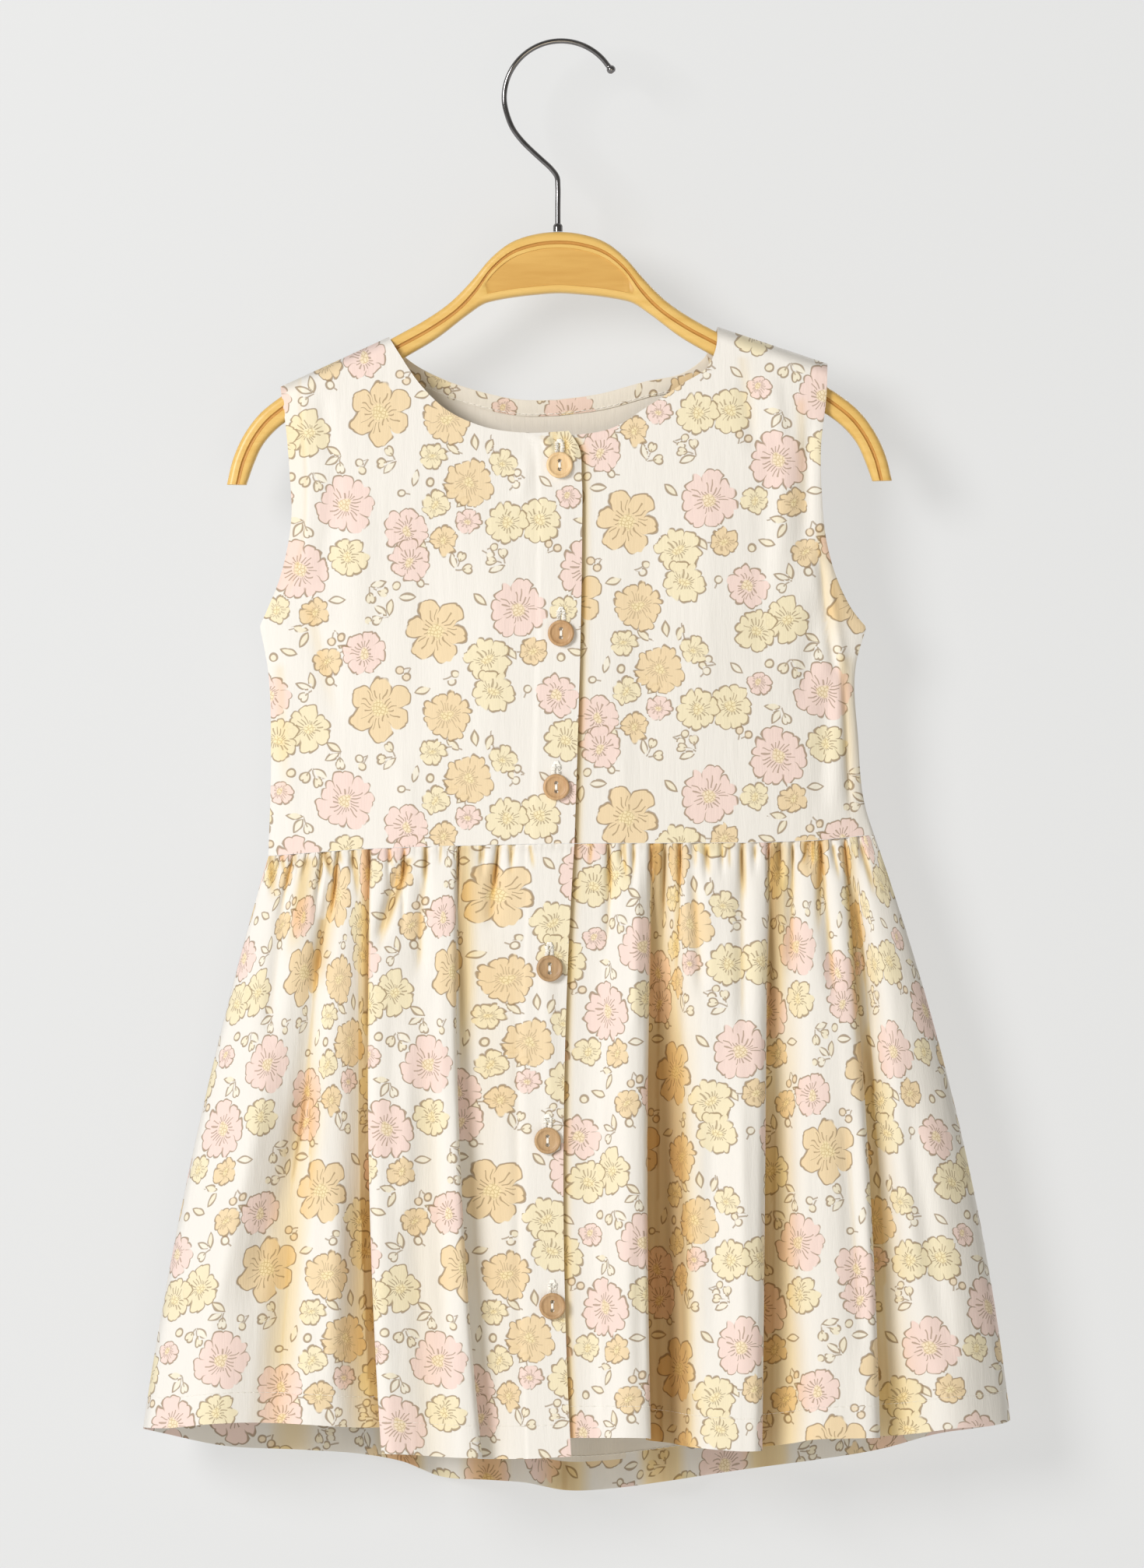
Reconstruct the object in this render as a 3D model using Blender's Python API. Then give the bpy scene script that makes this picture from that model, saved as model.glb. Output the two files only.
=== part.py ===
"""A toddler's sleeveless button-front dress hanging on a wooden hanger.

The origin is the inside of the hook's crown. The front faces -Y, the wearer's right side is at -X.
Every length below is in millimetres until a mesh is made.
"""

import math

import bmesh
import bpy
import numpy as np
from mathutils import Matrix, Vector
from mathutils.bvhtree import BVHTree

MM = 0.001

# Cloth
WALL = 1.2
SEAM_GAP = 0.3
SIDE_OUT = WALL / 2 + SEAM_GAP / 2
PLACKET_WIDTH = 21.0
PLACKET_RAISE = 0.4
UNDERLAP_DROP = 1.9
SHOULDER_ROLL_HEIGHT = 6.0
NECK_SHARE = 0.42
UNDERARM_SHARE = 0.56
GATHER_HALF_WIDTH = 3.2
GATHER_RISE = 6.0
GATHER_AT_SEAM = 0.35
FACING_WIDTH = 7.5
FACING_WALL = 1.0

# Buttons
BUTTON_DIAMETER = 12.3
BUTTON_THICKNESS = 2.3
BUTTON_HOLE_DIAMETER = 1.6
BUTTON_HOLE_SPACING = 3.6
BUTTON_SEGMENTS = 16
BUTTON_SEAT_SHARE = 0.8

# Hanger
HANGER_DEPTH = 11.0
HANGER_TILT = -0.35
HANGER_CENTRE_X = -1.5
HANGER_EDGE_ROUND = 2.6
GROOVE_BELOW_TOP = 5.0
GROOVE_WIDTH = 1.2
GROOVE_DEPTH = 0.8
HOOK_WIRE = 2.5
HOOK_RADIUS = 25.3
HOOK_BALL = 4.2
HOOK_COLLAR = 4.4

# Seam lines seen from the front, each a row of (x, z) from the shoulder down.
ARMHOLE_RIGHT_SIDE = [(-130.7, -160.3), (-128.4, -177.0), (-126.4, -200.0), (-125.6, -221.8),
                      (-128.0, -238.0), (-131.5, -251.0), (-136.0, -262.0), (-140.5, -271.9)]
SIDE_SEAM_RIGHT = [(-140.5, -271.9), (-137.0, -290.0), (-135.3, -330.0), (-136.5, -378.8)]
ARMHOLE_LEFT_SIDE = [(124.1, -149.6), (123.8, -162.0), (121.0, -190.0), (121.4, -209.0),
                     (124.1, -234.5), (130.5, -254.5), (136.2, -265.0), (142.3, -272.3)]
SIDE_SEAM_LEFT = [(142.3, -272.3), (137.8, -288.0), (138.6, -325.0), (141.9, -356.0), (145.9, -368.8)]
NECK_FRONT_OVER = [(-80.2, -137.1), (-76.2, -143.5), (-65.3, -159.4), (-54.1, -170.2),
                   (-37.4, -178.2), (-15.2, -181.5), (3.6, -180.6)]
NECK_FRONT_UNDER = [(73.0, -132.4), (72.4, -141.0), (68.5, -150.5), (57.0, -158.3), (40.3, -169.2),
                    (23.6, -179.3), (4.7, -182.6), (-12.0, -183.0)]
NECK_BACK_RIGHT = [(-80.2, -137.1), (-73.0, -145.9), (-53.0, -157.2), (-37.4, -162.3), (-18.0, -166.0),
                   (-2.0, -167.0)]
NECK_BACK_LEFT = [(73.0, -132.4), (67.5, -145.5), (58.0, -153.0), (39.2, -157.5), (18.0, -162.5),
                  (-2.0, -167.0)]
FRONT_EDGE_OVER = [(3.6, -180.6), (8.2, -188.0), (9.6, -202.0), (9.8, -227.6), (9.2, -270.0), (7.9, -320.0),
                   (6.2, -372.8)]
FRONT_EDGE_UNDER = [(-12.0, -183.0)] + [(x - PLACKET_WIDTH, z) for x, z in FRONT_EDGE_OVER[3:]]
BACK_CENTRE = [(-2.0, -167.0), (-0.5, -230.0), (1.5, -300.0), (3.0, -373.0)]
WAIST_SEAM = [(-136.5, -378.8), (-89.3, -375.5), (-45.0, -374.0), (6.2, -373.0), (50.0, -372.8),
              (100.0, -372.3), (123.0, -371.2), (145.9, -368.8)]

# How far the cloth stands from the hanger's middle plane.
# Columns: z, at the side edge, at the centre, fullness between them.
FRONT_DEPTH = [(-130.0, 8.2, 8.6, 1.0), (-182.0, 8.2, 9.8, 3.0), (-228.0, 8.2, 12.2, 7.0),
               (-250.0, 6.6, 13.0, 9.0), (-262.0, 4.0, 13.4, 10.0), (-272.0, SIDE_OUT, 13.8, 11.0),
               (-320.0, SIDE_OUT, 14.6, 12.0), (-380.0, SIDE_OUT, 15.2, 12.0)]
BACK_DEPTH = [(-130.0, 8.2, 8.4, 1.0), (-168.0, 8.2, 8.8, 2.0), (-228.0, 8.2, 10.2, 6.0),
              (-250.0, 6.6, 11.0, 8.0), (-262.0, 4.0, 11.4, 9.0), (-272.0, SIDE_OUT, 11.8, 10.0),
              (-320.0, SIDE_OUT, 12.4, 11.0), (-380.0, SIDE_OUT, 13.0, 12.0)]

# Skirt folds, each row a ridge or a valley line.
# Columns: x at the waist, half way down and at the hem; out half way down and at the hem; z of the hem.
FOLDS_OVER = [
    (-136.5, -170.5, -194.9, SIDE_OUT, SIDE_OUT, -645.1),
    (-131.0, -164.0, -187.0, 12.0, 15.0, -645.6),
    (-119.0, -142.0, -162.0, 21.0, 27.0, -643.6),
    (-108.0, -121.0, -133.0, 15.0, 21.0, -643.2),
    (-99.0, -105.0, -108.0, 19.0, 26.0, -644.8),
    (-93.0, -93.0, -87.0, 13.0, 17.0, -645.6),
    (-86.0, -85.5, -79.0, 27.0, 34.0, -657.4),
    (-68.0, -68.0, -61.0, 25.0, 32.0, -658.6),
    (-51.0, -51.0, -43.0, 29.0, 35.0, -659.6),
    (-45.0, -44.0, -35.5, 17.0, 25.0, -659.9),
    (-15.0, -20.0, -16.5, 19.0, 27.0, -659.9),
    (6.2, 1.1, 4.7, 20.0, 28.0, -658.8),
]
FOLDS_UNDER = [
    (145.9, 186.0, 209.5, SIDE_OUT, SIDE_OUT, -641.6),
    (143.0, 180.0, 201.5, 10.0, 13.0, -644.4),
    (139.0, 164.0, 181.0, 17.0, 23.0, -646.0),
    (135.0, 147.0, 154.0, 12.0, 17.0, -649.4),
    (129.5, 139.5, 146.0, 20.0, 27.0, -650.1),
    (114.0, 116.0, 118.0, 23.0, 30.0, -650.9),
    (101.0, 100.0, 99.0, 16.0, 22.0, -654.6),
    (94.5, 92.5, 91.5, 27.0, 33.0, -656.3),
    (74.0, 76.0, 77.0, 29.0, 35.0, -656.0),
    (57.0, 60.0, 62.0, 22.0, 28.0, -654.6),
    (49.0, 48.5, 50.5, 9.0, 12.0, -652.4),
    (41.0, 38.0, 40.0, 22.0, 28.0, -650.4),
    (32.0, 30.0, 31.0, 27.0, 33.0, -650.1),
    (21.0, 18.5, 18.5, 19.0, 26.0, -650.1),
    (9.0, 5.0, 8.0, 17.4, 25.2, -650.1),
    (-15.0, -20.0, -16.3, 16.4, 24.2, -650.1),
]
FOLDS_BACK = [
    (-136.5, -170.5, -194.9, SIDE_OUT, SIDE_OUT, -645.8),
    (-131.0, -163.0, -185.0, 13.0, 16.0, -648.0),
    (-118.0, -140.0, -158.0, 20.0, 25.0, -653.6),
    (-103.0, -112.0, -120.0, 13.0, 17.0, -655.6),
    (-90.0, -92.0, -94.0, 24.0, 30.0, -657.4),
    (-74.0, -74.0, -74.0, 12.0, 16.0, -661.0),
    (-60.0, -58.0, -56.0, 26.0, 31.0, -668.0),
    (-38.0, -36.0, -34.0, 15.0, 20.0, -669.6),
    (-18.0, -17.0, -16.0, 25.0, 31.0, -671.0),
    (0.0, 1.0, 2.0, 14.0, 19.0, -674.4),
    (20.0, 21.0, 22.0, 26.0, 33.0, -673.8),
    (42.0, 45.0, 48.0, 15.0, 20.0, -670.4),
    (60.0, 66.0, 70.0, 25.0, 32.0, -667.0),
    (80.0, 88.0, 95.0, 14.0, 19.0, -663.4),
    (98.0, 112.0, 122.0, 24.0, 30.0, -659.8),
    (118.0, 138.0, 150.0, 13.0, 18.0, -655.0),
    (133.0, 160.0, 176.0, 19.0, 24.0, -648.0),
    (141.0, 178.0, 199.0, 11.0, 14.0, -644.6),
    (145.9, 186.0, 209.5, SIDE_OUT, SIDE_OUT, -641.8),
]
SKIRT_LEVELS = (0.0, 0.015, 0.04, 0.08, 0.15, 0.27, 0.43, 0.62, 0.82, 1.0)

# Gathers let into the waist seam.
# Columns: x, how deep the pinch is, how far down it runs.
GATHERS_OVER = [(-130.6, 1.8, 22.0), (-124.6, 2.4, 34.0), (-118.0, 1.8, 16.0), (-111.1, 2.2, 40.0),
                (-104.0, 2.4, 60.0), (-97.4, 1.8, 18.0), (-89.0, 2.6, 40.0), (-80.0, 1.8, 20.0),
                (-73.0, 2.6, 48.0), (-62.4, 2.2, 30.0), (-47.6, 2.6, 44.0), (-36.0, 1.8, 20.0),
                (-29.4, 2.2, 26.0), (-22.4, 1.6, 16.0)]
GATHERS_UNDER = [(22.5, 2.0, 24.0), (28.3, 1.8, 16.0), (34.0, 2.2, 30.0), (42.0, 2.4, 44.0),
                 (48.5, 2.6, 60.0), (55.5, 2.4, 46.0), (61.4, 1.6, 14.0), (67.4, 2.2, 24.0),
                 (75.0, 2.0, 18.0), (84.0, 2.4, 32.0), (90.4, 1.8, 18.0), (97.0, 2.6, 42.0),
                 (102.4, 2.0, 22.0), (108.0, 2.2, 28.0), (115.4, 1.8, 16.0), (121.0, 2.4, 34.0),
                 (126.4, 1.8, 18.0), (132.1, 2.4, 40.0), (139.0, 1.8, 20.0)]
BACK_GATHERS = 34
BACK_GATHER_SPAN = (-130.0, 139.0)

# Buttons down the front edge, (x, z) of each centre.
BUTTON_CENTRES = [(-0.7, -197.1), (0.0, -275.2), (-2.2, -346.7), (-5.4, -430.9), (-6.2, -510.7),
                  (-4.0, -587.3)]
BUTTON_COLOURS = [(0.77, 0.53, 0.29), (0.52, 0.33, 0.16), (0.56, 0.36, 0.18), (0.50, 0.31, 0.15),
                  (0.54, 0.34, 0.17), (0.51, 0.32, 0.16)]

# Wooden bar, left half: x and z of a point on the top edge, then of its partner on the bottom edge.
HANGER_SECTIONS = [
    (0.0, -88.0, 0.0, -116.3), (11.5, -89.2, 11.0, -117.0), (22.7, -93.2, 21.5, -118.2),
    (31.8, -100.5, 29.5, -119.6), (39.5, -109.6, 35.0, -121.2), (48.6, -119.0, 43.0, -126.6),
    (62.0, -128.6, 57.0, -137.2), (75.0, -135.7, 71.0, -145.4), (102.0, -150.0, 98.0, -159.8),
    (130.0, -164.3, 125.5, -174.0), (139.2, -171.6, 132.6, -179.6), (146.5, -181.0, 138.5, -186.6),
    (152.0, -192.7, 142.6, -195.4), (155.0, -204.7, 146.0, -204.9),
]


def smooth_step(t):
    t = np.clip(t, 0.0, 1.0)
    return t * t * (3.0 - 2.0 * t)


def smooth_curve(points):
    """A curve through the points, as a function of the share of its chord length."""
    rows = np.array(points, float)
    knots = np.concatenate([[0.0], np.cumsum(np.linalg.norm(np.diff(rows, axis=0), axis=1))])
    knots /= knots[-1]
    slopes = np.gradient(rows, knots, axis=0)

    def at(share):
        share = np.clip(np.atleast_1d(np.asarray(share, float)), 0.0, 1.0)
        i = np.clip(np.searchsorted(knots, share, side="right") - 1, 0, len(knots) - 2)
        span = (knots[i + 1] - knots[i])[:, None]
        t = (share - knots[i])[:, None] / span
        start, end = rows[i], rows[i + 1]
        return (start * (1 + 2 * t) * (1 - t) ** 2 + slopes[i] * span * t * (1 - t) ** 2
                + end * t * t * (3 - 2 * t) + slopes[i + 1] * span * t * t * (t - 1))

    return at


def joined(first, second, corner):
    """Two curves end to end, with the corner between them at the given share."""
    one, two = smooth_curve(first), smooth_curve(second)

    def at(share):
        share = np.asarray(share, float)
        head = one(np.minimum(share / corner, 1.0))
        tail = two(np.maximum((share - corner) / (1.0 - corner), 0.0))
        return np.where((share <= corner)[:, None], head, tail)

    return at


def x_of_z(points):
    """x of a line that runs down, as a function of z."""
    dense = smooth_curve(points)(np.linspace(0, 1, 60))
    return lambda z: np.interp(-np.asarray(z, float), -dense[:, 1], dense[:, 0])


def waist_z(x):
    dense = smooth_curve(WAIST_SEAM)(np.linspace(0, 1, 80))
    return np.interp(x, dense[:, 0], dense[:, 1])


def patch(left, right, top, bottom, us, vs):
    """A surface patch between four edges, as rows of (x, z)."""
    u = us[None, :, None]
    v = vs[:, None, None]
    side_a, side_b = left(vs)[:, None, :], right(vs)[:, None, :]
    head, foot = top(us)[None, :, :], bottom(us)[None, :, :]
    ends = ((1 - u) * (1 - v) * head[:, :1] + u * (1 - v) * head[:, -1:]
            + (1 - u) * v * foot[:, :1] + u * v * foot[:, -1:])
    return (1 - u) * side_a + u * side_b + (1 - v) * head + v * foot - ends


class Bodice:
    """One bodice half: its four edges, and how far each point stands out."""

    def __init__(self, armhole, side, neck, centre_line, depth, facing_sign, drop=0.0, cover=None):
        self.side_line = joined(armhole, side, UNDERARM_SHARE)
        self.centre_line = joined(neck, centre_line, NECK_SHARE)
        self.shoulder = np.array([armhole[0], neck[0]])
        self.foot = np.array([side[-1], centre_line[-1]])
        self.side_x = x_of_z(armhole + side[1:])
        self.centre_x = x_of_z(cover or centre_line)
        self.depth = np.array(depth)
        self.sign = facing_sign
        self.drop = drop

    def top(self, us):
        return self.shoulder[0] + (self.shoulder[1] - self.shoulder[0]) * us[:, None]

    def bottom(self, us):
        x = self.foot[0, 0] + (self.foot[1, 0] - self.foot[0, 0]) * us
        return np.stack([x, waist_z(x) + SEAM_GAP / 2], axis=-1)

    def out(self, x, z):
        z_rows, edge, centre, fullness = (-self.depth[:, 0], self.depth[:, 1], self.depth[:, 2],
                                          self.depth[:, 3])
        at = -z
        side, middle = self.side_x(z), self.centre_x(z)
        across = np.clip((x - side) / (middle - side), 0.0, 1.0)
        base = (np.interp(at, z_rows, edge) * (1 - across)
                + (np.interp(at, z_rows, centre) - self.drop) * across
                + np.interp(at, z_rows, fullness) * np.sqrt(across) * (1 - across))
        (x0, z0), (x1, z1) = self.shoulder
        below = z0 + (x - x0) * (z1 - z0) / (x1 - x0) - z
        roll = np.sqrt(1 - (1 - np.clip(below / SHOULDER_ROLL_HEIGHT, 0.0, 1.0)) ** 2)
        return np.maximum(base * roll, SEAM_GAP / 2)

    def grid(self, us, vs):
        flat = patch(self.side_line, self.centre_line, self.top, self.bottom, us, vs)
        x, z = flat[..., 0], flat[..., 1]
        z[-1] = waist_z(x[-1]) + SEAM_GAP / 2
        return np.stack([x, self.sign * self.out(x, z), z], axis=-1)

    def shoulder_normal(self):
        (x0, z0), (x1, z1) = self.shoulder
        along = Vector((x1 - x0, 0.0, z1 - z0)).normalized()
        normal = Vector((-along.z, 0.0, along.x))
        return normal if normal.z > 0 else -normal


# Columns run from the side to the centre, rows from the shoulder to the waist.
BODICE_COLUMNS = np.array([0.0, 0.03, 0.08, 0.16, 0.26, 0.37, 0.48, 0.59, 0.7, 0.79, 0.846, 0.862, 0.93,
                           1.0])
BODICE_ROWS = np.array([0.0, 0.003, 0.009, 0.018, 0.034, 0.08, 0.15, 0.24, 0.33, NECK_SHARE, 0.49,
                        UNDERARM_SHARE, 0.66, 0.78, 0.9, 1.0])
NECK_ROW = int(np.argmin(abs(BODICE_ROWS - NECK_SHARE)))
UNDERARM_ROW = int(np.argmin(abs(BODICE_ROWS - UNDERARM_SHARE)))
PLACKET_SHARE = 0.85

OVER = Bodice(ARMHOLE_RIGHT_SIDE, SIDE_SEAM_RIGHT, NECK_FRONT_OVER, FRONT_EDGE_OVER, FRONT_DEPTH, -1)
UNDER = Bodice(ARMHOLE_LEFT_SIDE, SIDE_SEAM_LEFT, NECK_FRONT_UNDER, FRONT_EDGE_UNDER, FRONT_DEPTH, -1,
               drop=UNDERLAP_DROP, cover=FRONT_EDGE_OVER)
BACK_RIGHT = Bodice(ARMHOLE_RIGHT_SIDE, SIDE_SEAM_RIGHT, NECK_BACK_RIGHT, BACK_CENTRE, BACK_DEPTH, 1)
BACK_LEFT = Bodice(ARMHOLE_LEFT_SIDE, SIDE_SEAM_LEFT, NECK_BACK_LEFT, BACK_CENTRE, BACK_DEPTH, 1)


def through_three(waist, middle, hem, t):
    """The parabola through a value at the waist, half way down and at the hem."""
    return waist * (1 - t) * (1 - 2 * t) + 4 * middle * t * (1 - t) + hem * t * (2 * t - 1)


class Skirt:
    """One skirt panel: fold lines across it, and gathers pinched into its top."""

    def __init__(self, folds, gathers, waist_out, facing_sign):
        self.rows = np.array(folds)
        self.gathers = np.array(gathers)
        self.waist_out = waist_out
        self.sign = facing_sign
        step = np.diff(self.rows, axis=0)
        length = np.abs(step[:, 0]) + np.hypot(step[:, 1], step[:, 3]) + np.hypot(step[:, 2], step[:, 4])
        self.shares = np.concatenate([[0.0], np.cumsum(length)]) / length.sum()

    def share_at_waist(self, x):
        if self.rows[0, 0] < self.rows[-1, 0]:
            return np.interp(x, self.rows[:, 0], self.shares)
        return np.interp(-np.asarray(x), -self.rows[:, 0], self.shares)

    def columns(self):
        """A column in each pinch, two between neighbours, and one on each fold line."""
        marks = np.sort(np.concatenate([[0.0, 1.0], self.share_at_waist(self.gathers[:, 0])]))
        spots = []
        for a, b in zip(marks[:-1], marks[1:]):
            spots += [a, a + (b - a) / 3, a + (b - a) * 2 / 3]
        spots.append(1.0)
        limit = 0.35 * np.median(np.diff(spots))
        spots += [s for s in self.shares if min(abs(s - k) for k in spots) > limit]
        return np.array(sorted(spots))

    def grid(self, shares, levels):
        s, t = shares[None, :], levels[:, None]
        i = np.clip(np.searchsorted(self.shares, shares, side="right") - 1, 0, len(self.shares) - 2)
        along = (shares - self.shares[i]) / (self.shares[i + 1] - self.shares[i])
        straight = self.rows[i] + (self.rows[i + 1] - self.rows[i]) * along[:, None]
        eased = self.rows[i] + (self.rows[i + 1] - self.rows[i]) * smooth_step(along)[:, None]
        x_waist = straight[:, 0]
        x = through_three(x_waist[None, :], straight[None, :, 1], straight[None, :, 2], t)
        top = waist_z(x_waist) - SEAM_GAP / 2
        z = top[None, :] + (eased[None, :, 5] - top[None, :]) * t
        out = through_three(self.waist_out(x_waist)[None, :], eased[None, :, 3], eased[None, :, 4], t)
        below = top[None, :] - z
        for x_pinch, depth, length in self.gathers:
            near = np.clip(1 - np.abs(x_waist - x_pinch) / GATHER_HALF_WIDTH, 0.0, 1.0)[None, :]
            rise = GATHER_AT_SEAM + (1 - GATHER_AT_SEAM) * smooth_step(below / GATHER_RISE)
            fade = rise * (1 - smooth_step(below / length))
            out = out - depth * smooth_step(near) * fade
        return np.stack([x, self.sign * np.maximum(out, SIDE_OUT) + 0 * s, z], axis=-1)


def front_waist_out(panel):
    return lambda x: panel.out(x, waist_z(x))


def back_waist_out(x):
    return np.where(x < BACK_CENTRE[-1][0], BACK_RIGHT.out(x, waist_z(x)), BACK_LEFT.out(x, waist_z(x)))


def back_gathers():
    """Gathers of the back, spaced and sized as unevenly as the front ones."""
    first, last = BACK_GATHER_SPAN
    pitch = (last - first) / (BACK_GATHERS - 1)
    rows = []
    for k in range(BACK_GATHERS):
        sway = math.sin(2.4 * k) * 0.2 * pitch if 0 < k < BACK_GATHERS - 1 else 0.0
        rows.append((first + k * pitch + sway, 2.1 + 0.5 * math.sin(1.7 * k), 32.0 + 18.0 * math.sin(2.9 * k)))
    return rows


SKIRT_OVER = Skirt(FOLDS_OVER, GATHERS_OVER, front_waist_out(OVER), -1)
SKIRT_UNDER = Skirt(FOLDS_UNDER, GATHERS_UNDER, front_waist_out(UNDER), -1)
SKIRT_BACK = Skirt(FOLDS_BACK, back_gathers(), back_waist_out, 1)


def material(name, colour, roughness, metallic=0.0):
    made = bpy.data.materials.new(name)
    made.use_nodes = True
    shader = made.node_tree.nodes["Principled BSDF"]
    shader.inputs["Base Color"].default_value = (*colour, 1.0)
    shader.inputs["Roughness"].default_value = roughness
    shader.inputs["Metallic"].default_value = metallic
    return made


def add_object(name, mesh, colour, roughness, metallic=0.0):
    made = bpy.data.objects.new(name, mesh)
    bpy.context.scene.collection.objects.link(made)
    mesh.materials.append(material(name, colour, roughness, metallic))
    return made


CLOTH_COLOUR = (0.88, 0.84, 0.74)


def grid_faces(rows, columns, flip, start=0):
    """Quads of a grid whose points run along each row in turn."""
    faces = []
    for r in range(rows - 1):
        for c in range(columns - 1):
            a = start + r * columns + c
            quad = (a, a + 1, a + 1 + columns, a + columns)
            faces.append(quad[::-1] if flip else quad)
    return faces


def cloth_wall(name, points, faces, fixed_normals, level_rows, raised=(), wall=WALL):
    """A closed wall round a middle surface given by its points and its outward faces.

    fixed_normals gives the directions that a seam prescribes, level_rows the points whose rim
    stays level, and raised the points whose outer side is thicker.
    """
    middle = [Vector(p) for p in points]
    normals = [Vector((0.0, 0.0, 0.0)) for _ in middle]
    border = {}
    for face in faces:
        a, b, c, d = (middle[i] for i in face)
        normal = (c - a).cross(d - b)
        for i in face:
            normals[i] += normal
        for i, j in zip(face, face[1:] + face[:1]):
            if (j, i) in border:
                del border[(j, i)]
            else:
                border[(i, j)] = True
    for i in level_rows:
        normals[i].z = 0.0
    for i, direction in fixed_normals.items():
        normals[i] = direction.copy()
    raised = set(raised)
    count = len(middle)
    bm = bmesh.new()
    for i, (p, n) in enumerate(zip(middle, normals)):
        n.normalize()
        extra = PLACKET_RAISE if i in raised else 0.0
        bm.verts.new((p + n * (wall / 2 + extra)) * MM)
    for p, n in zip(middle, normals):
        bm.verts.new((p - n * wall / 2) * MM)
    bm.verts.ensure_lookup_table()
    for face in faces:
        bm.faces.new([bm.verts[i] for i in face])
        bm.faces.new([bm.verts[i + count] for i in reversed(face)])
    for i, j in border:
        bm.faces.new([bm.verts[k] for k in (j, i, i + count, j + count)])
    bmesh.ops.triangulate(bm, faces=bm.faces[:])
    mesh = bpy.data.meshes.new(name)
    bm.to_mesh(mesh)
    bm.free()
    mesh.shade_smooth()
    mesh.set_sharp_from_angle(angle=math.radians(50))
    return add_object(name, mesh, CLOTH_COLOUR, 0.85)


def bodice_front(name, panel, flip, raised):
    rows, columns = len(BODICE_ROWS), len(BODICE_COLUMNS)
    grid = panel.grid(BODICE_COLUMNS, BODICE_ROWS)
    fixed = {r * columns: Vector((0, panel.sign, 0)) for r in range(UNDERARM_ROW, rows)}
    fixed.update({c: panel.shoulder_normal() for c in range(columns)})
    hem = range((rows - 1) * columns, rows * columns)
    thick = [r * columns + c for r in range(rows) for c in range(columns)
             if raised and BODICE_COLUMNS[c] > PLACKET_SHARE and r >= NECK_ROW]
    return cloth_wall(name, grid.reshape(-1, 3), grid_faces(rows, columns, flip), fixed, hem, thick)


def bodice_back(name):
    """Both halves of the back, joined down the centre."""
    rows, columns = len(BODICE_ROWS), len(BODICE_COLUMNS)
    right = BACK_RIGHT.grid(BODICE_COLUMNS, BODICE_ROWS).reshape(-1, 3)
    left = BACK_LEFT.grid(BODICE_COLUMNS, BODICE_ROWS).reshape(-1, 3)
    start = len(right)
    faces = grid_faces(rows, columns, False) + grid_faces(rows, columns, True, start)
    points = list(right) + list(left)
    twin = {start + r * columns + columns - 1: r * columns + columns - 1 for r in range(NECK_ROW, rows)}
    keep = [i for i in range(len(points)) if i not in twin]
    new_index = {old: new for new, old in enumerate(keep)}
    new_index.update({gone: new_index[kept] for gone, kept in twin.items()})
    faces = [tuple(new_index[i] for i in face) for face in faces]
    fixed, level = {}, []
    for panel, offset in ((BACK_RIGHT, 0), (BACK_LEFT, start)):
        for r in range(UNDERARM_ROW, rows):
            fixed[new_index[offset + r * columns]] = Vector((0, 1, 0))
        for c in range(columns):
            fixed[new_index[offset + c]] = panel.shoulder_normal()
            level.append(new_index[offset + (rows - 1) * columns + c])
    return cloth_wall(name, [points[i] for i in keep], faces, fixed, level)


def skirt_panel(name, skirt, flip, raised):
    shares, levels = skirt.columns(), np.array(SKIRT_LEVELS)
    rows, columns = len(levels), len(shares)
    grid = skirt.grid(shares, levels)
    fixed = {}
    for r in range(rows):
        fixed[r * columns] = Vector((0, skirt.sign, 0))
        if skirt is SKIRT_BACK:
            fixed[r * columns + columns - 1] = Vector((0, skirt.sign, 0))
    band = skirt.shares[-2] - 1e-6
    thick = [r * columns + c for r in range(rows) for c in range(columns) if raised and shares[c] >= band]
    return cloth_wall(name, grid.reshape(-1, 3), grid_faces(rows, columns, flip), fixed, range(columns),
                      thick)


def neck_facing(name):
    """The bias strip turned inside the back neck, on the back bodice's own surface, moved inwards."""
    shares = np.linspace(0.16, 1.0, 10)
    right = smooth_curve(NECK_BACK_RIGHT)(shares)
    left = smooth_curve(NECK_BACK_LEFT)(shares[:-1])[::-1]
    edge = np.concatenate([right, left])
    along = np.gradient(edge, axis=0)
    along /= np.linalg.norm(along, axis=1)[:, None]
    down = np.stack([along[:, 1], -along[:, 0]], axis=-1)
    inset = WALL / 2 + SEAM_GAP + FACING_WALL / 2
    points = []
    for k in range(3):
        line = edge + down * (0.4 + (FACING_WIDTH - 0.4) * k / 2)
        for x, z in line:
            panel = BACK_RIGHT if x < BACK_CENTRE[0][0] else BACK_LEFT
            points.append((x, panel.out(x, z) - inset, z))
    columns = len(edge)
    fixed = {i: Vector((0, -1, 0)) for i in range(3 * columns)}
    return cloth_wall(name, points, grid_faces(3, columns, True), fixed, (), wall=FACING_WALL)


def turned(profile, segments):
    """A closed solid turned about Z from (radius, z) rows that start and end on the axis."""
    bm = bmesh.new()
    rings = []
    for radius, z in profile:
        if radius < 1e-6:
            rings.append([bm.verts.new((0, 0, z * MM))] * segments)
            continue
        rings.append([bm.verts.new((radius * MM * math.cos(2 * math.pi * k / segments),
                                    radius * MM * math.sin(2 * math.pi * k / segments), z * MM))
                      for k in range(segments)])
    for low, high in zip(rings[:-1], rings[1:]):
        for k in range(segments):
            j = (k + 1) % segments
            corners = []
            for vert in (low[k], low[j], high[j], high[k]):
                if vert not in corners:
                    corners.append(vert)
            bm.faces.new(corners)
    return bm


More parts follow.
